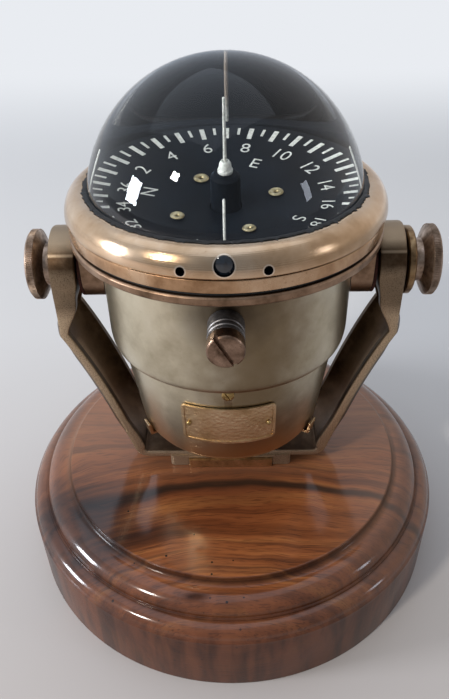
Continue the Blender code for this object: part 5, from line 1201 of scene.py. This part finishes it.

# White cellulose paint on wire and on the card: slightly ivory, with thin spots. Near its
# top the rear wire is coloured brown.
white_paint, shader, where, add = finish_start("ivory_cellulose_paint")
thin = add("TexNoise", where, 1 / (0.8 * MM), 3.0)
tint = add("ValToRGB", thin, stops=[(0.25, "#9fa298"), (0.5, "#cdd0c8")])
x, y, z = add("SeparateXYZ", where).outputs
high = add("MapRange", z, 0.181, 0.186, 0.0, 0.85)
rear = add("Math GREATER_THAN", y, 0.025)
brown_top = add("Math MULTIPLY", high, rear)
with_brown_top = add("Mix RGBA", brown_top, tint, linear("#75624f"))
feed(shader, Base_Color=with_brown_top, Roughness=0.5)
WIRE_R = 0.45
WIRE_AT_R = 40.9
wire_top_r = WIRE_AT_R - 3.2
spine = [(WIRE_AT_R, 176.6, WIRE_R), (WIRE_AT_R, 179.0, WIRE_R), (WIRE_AT_R - 0.1, 179.5, WIRE_R),
         (wire_top_r + 0.05, 191.7, WIRE_R), (wire_top_r, 192.2, WIRE_R * 0.85), (wire_top_r, 192.5, WIRE_R * 0.4)]
wire = skin([[(x + u, v, z) for u, v in round_outline(radius, 16)] for x, z, radius in spine])
wires = repeated("lubber_wires", wire, white_paint, 4, 0, 90)
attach(wires, "card_carrier")
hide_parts("lubber_pin_front", "lubber_pin_left", "lubber_pin_rear", "lubber_pin_right")

# The pins, the stirrup under the card, the pivot post and the weight keep their CAD shapes.
steel = aged_metal("tarnished_steel", "#8b8c8e", "#6f7072", "#3c3c3e", (0.28, 0.45), 3.0, 0.4, 0.03)
lead = aged_metal("cast_lead", "#6a6c70", "#55575b", "#333539", (0.5, 0.7), 5.0, 0.6, 0.08)
for name, finish in (("bowl_pivot_left", steel), ("bowl_pivot_right", steel), ("frame_pivot_front", steel),
                     ("frame_pivot_rear", steel), ("pivot_post", steel), ("card_stirrup", black_enamel),
                     ("ballast_weight", lead), ("card_magnet_west", steel), ("card_magnet_east", steel),
                     ("expansion_diaphragm", gimbal_brass), ("diaphragm_ring", gimbal_brass),
                     ("card_float", gimbal_brass), ("jewel_cup", window_glass)):
    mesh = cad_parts[name].data
    mesh.materials.clear()
    mesh.materials.append(finish)

# ------------------------------------------------------------------ compass card
# A thin enamelled disc, black, with printed white graduations every five degrees, the tens
# of degrees numbered at every second one, and the four quarters lettered inside them.
CARD_R = 38.6
CARD_T = 0.8
CARD_Z = 173.4
CARD_TILT = 7.7
CARD_HEADING = 70.0
CARD_TURN = placed(0, 0, CARD_Z) @ turned(CARD_TILT, "X") @ turned(CARD_HEADING)
PRINT_T = 0.06
outline = eased(hoop(4.6, CARD_R, 0, CARD_T), 0.15)
card = settle("card_disc_enamelled", lathe(outline, 180, CARD_TURN), black_enamel)
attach(card, "card")
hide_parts("compass_card")

TICK_OUT_R = 37.2
NUMERAL_AT_R = 28.7
LETTER_AT_R = 22.4
for name, inner_r, width, first in (("long", 33.0, 1.2, 0.0), ("short", 34.6, 0.7, 5.0)):
    half = width / 2
    bar = prism(hoop(inner_r, TICK_OUT_R, -half, half), CARD_T - 0.02, CARD_T + PRINT_T)
    ticks = repeated(f"card_ticks_{name}", bar, white_paint, 36, first, 10, turn=CARD_TURN)
    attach(ticks, "card")


def lettering(name, marks, size, bold):
    """Flat printed characters, each at (text, heading, radius), their tops outwards."""
    bm = bmesh.new()
    for text, heading, radius in marks:
        curve = bpy.data.curves.new("mark", "FONT")
        curve.body = text
        curve.size = size
        curve.offset = bold
        curve.extrude = PRINT_T / 2
        curve.resolution_u = 6
        curve.align_x = "CENTER"
        curve.align_y = "CENTER"
        holder = bpy.data.objects.new("mark", curve)
        bpy.context.scene.collection.objects.link(holder)
        graph = bpy.context.evaluated_depsgraph_get()
        flat = bpy.data.meshes.new_from_object(holder.evaluated_get(graph))
        flat.transform(turned(-heading) @ placed(0, radius, CARD_T + PRINT_T / 2))
        bm.from_mesh(flat)
        bpy.data.objects.remove(holder)
        bpy.data.meshes.remove(flat)
    bmesh.ops.remove_doubles(bm, verts=bm.verts, dist=1e-4)
    return settle(name, bm, white_paint, turn=CARD_TURN)


marks = [(str(tens or 36), tens * 10, NUMERAL_AT_R) for tens in range(0, 36, 2)]
numerals = lettering("card_numerals", marks, 5.6, -0.04)
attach(numerals, "card")
marks = [(mark, i * 90, LETTER_AT_R) for i, mark in enumerate("NESW")]
letters = lettering("card_letters", marks, 6.0, -0.03)
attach(letters, "card")

# ------------------------------------------------------------------ what stands on the card
# A black bush holds the jewel. On it stand a white turned cap and a fine white shadow pin.
# Four eyelets of brass hold the magnets under the card.
HUB_TOP = 11.2
outline = [(3.5, -2.5), (6.8, -2.5), (6.8, -0.3), (4.3, -0.3), (4.3, HUB_TOP - 1), (3.3, HUB_TOP),
           (0, HUB_TOP), (0, 4.8), (3.5, 4.8)]
hub = settle("card_hub_black", lathe(eased(outline, 0.25), 56, CARD_TURN), black_enamel)
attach(hub, "card")
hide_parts("card_hub")
outline = [(0.85, 11.5), (2.2, 11.5), (2.2, 12.5), (1.9, 12.8), (1.7, 14.3), (1.2, 15.3), (0.85, 15.3)]
cap = settle("hub_cap_white", lathe(eased(outline, 0.3), 48, CARD_TURN), white_paint)
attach(cap, "card")
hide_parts("hub_finial")
outline = [(0, 11.5), (0.55, 11.5), (0.42, 36.4), (0, 36.8)]
pin = settle("shadow_pin_white", lathe(outline, 20, CARD_TURN), white_paint)
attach(pin, "card")
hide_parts("shadow_pin")

EYELET_SEAT = 1.1
outline = [(0.5, -2.2), (0.83, -2.2), (0.83, EYELET_SEAT), (2.0, EYELET_SEAT), (2.15, EYELET_SEAT + 0.25),
           (1.6, EYELET_SEAT + 0.6), (0.75, EYELET_SEAT + 0.35), (0.5, EYELET_SEAT)]
eyelet = lathe(eased(outline, 0.12), 32)
eyelet_brass = aged_metal("dulled_eyelet_brass", "#c9bd98", "#a89a74", "#5f5438", (0.3, 0.45), 2.0, 0.3, 0.02)
eyelets = repeated("card_eyelets", eyelet, eyelet_brass, 4, 0, 0, 20.8, 2, 22.2,
                   turn=CARD_TURN @ placed(-10.4, -11.1, 0))
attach(eyelets, "card")
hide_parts("card_rivet_ne", "card_rivet_nw", "card_rivet_se", "card_rivet_sw")
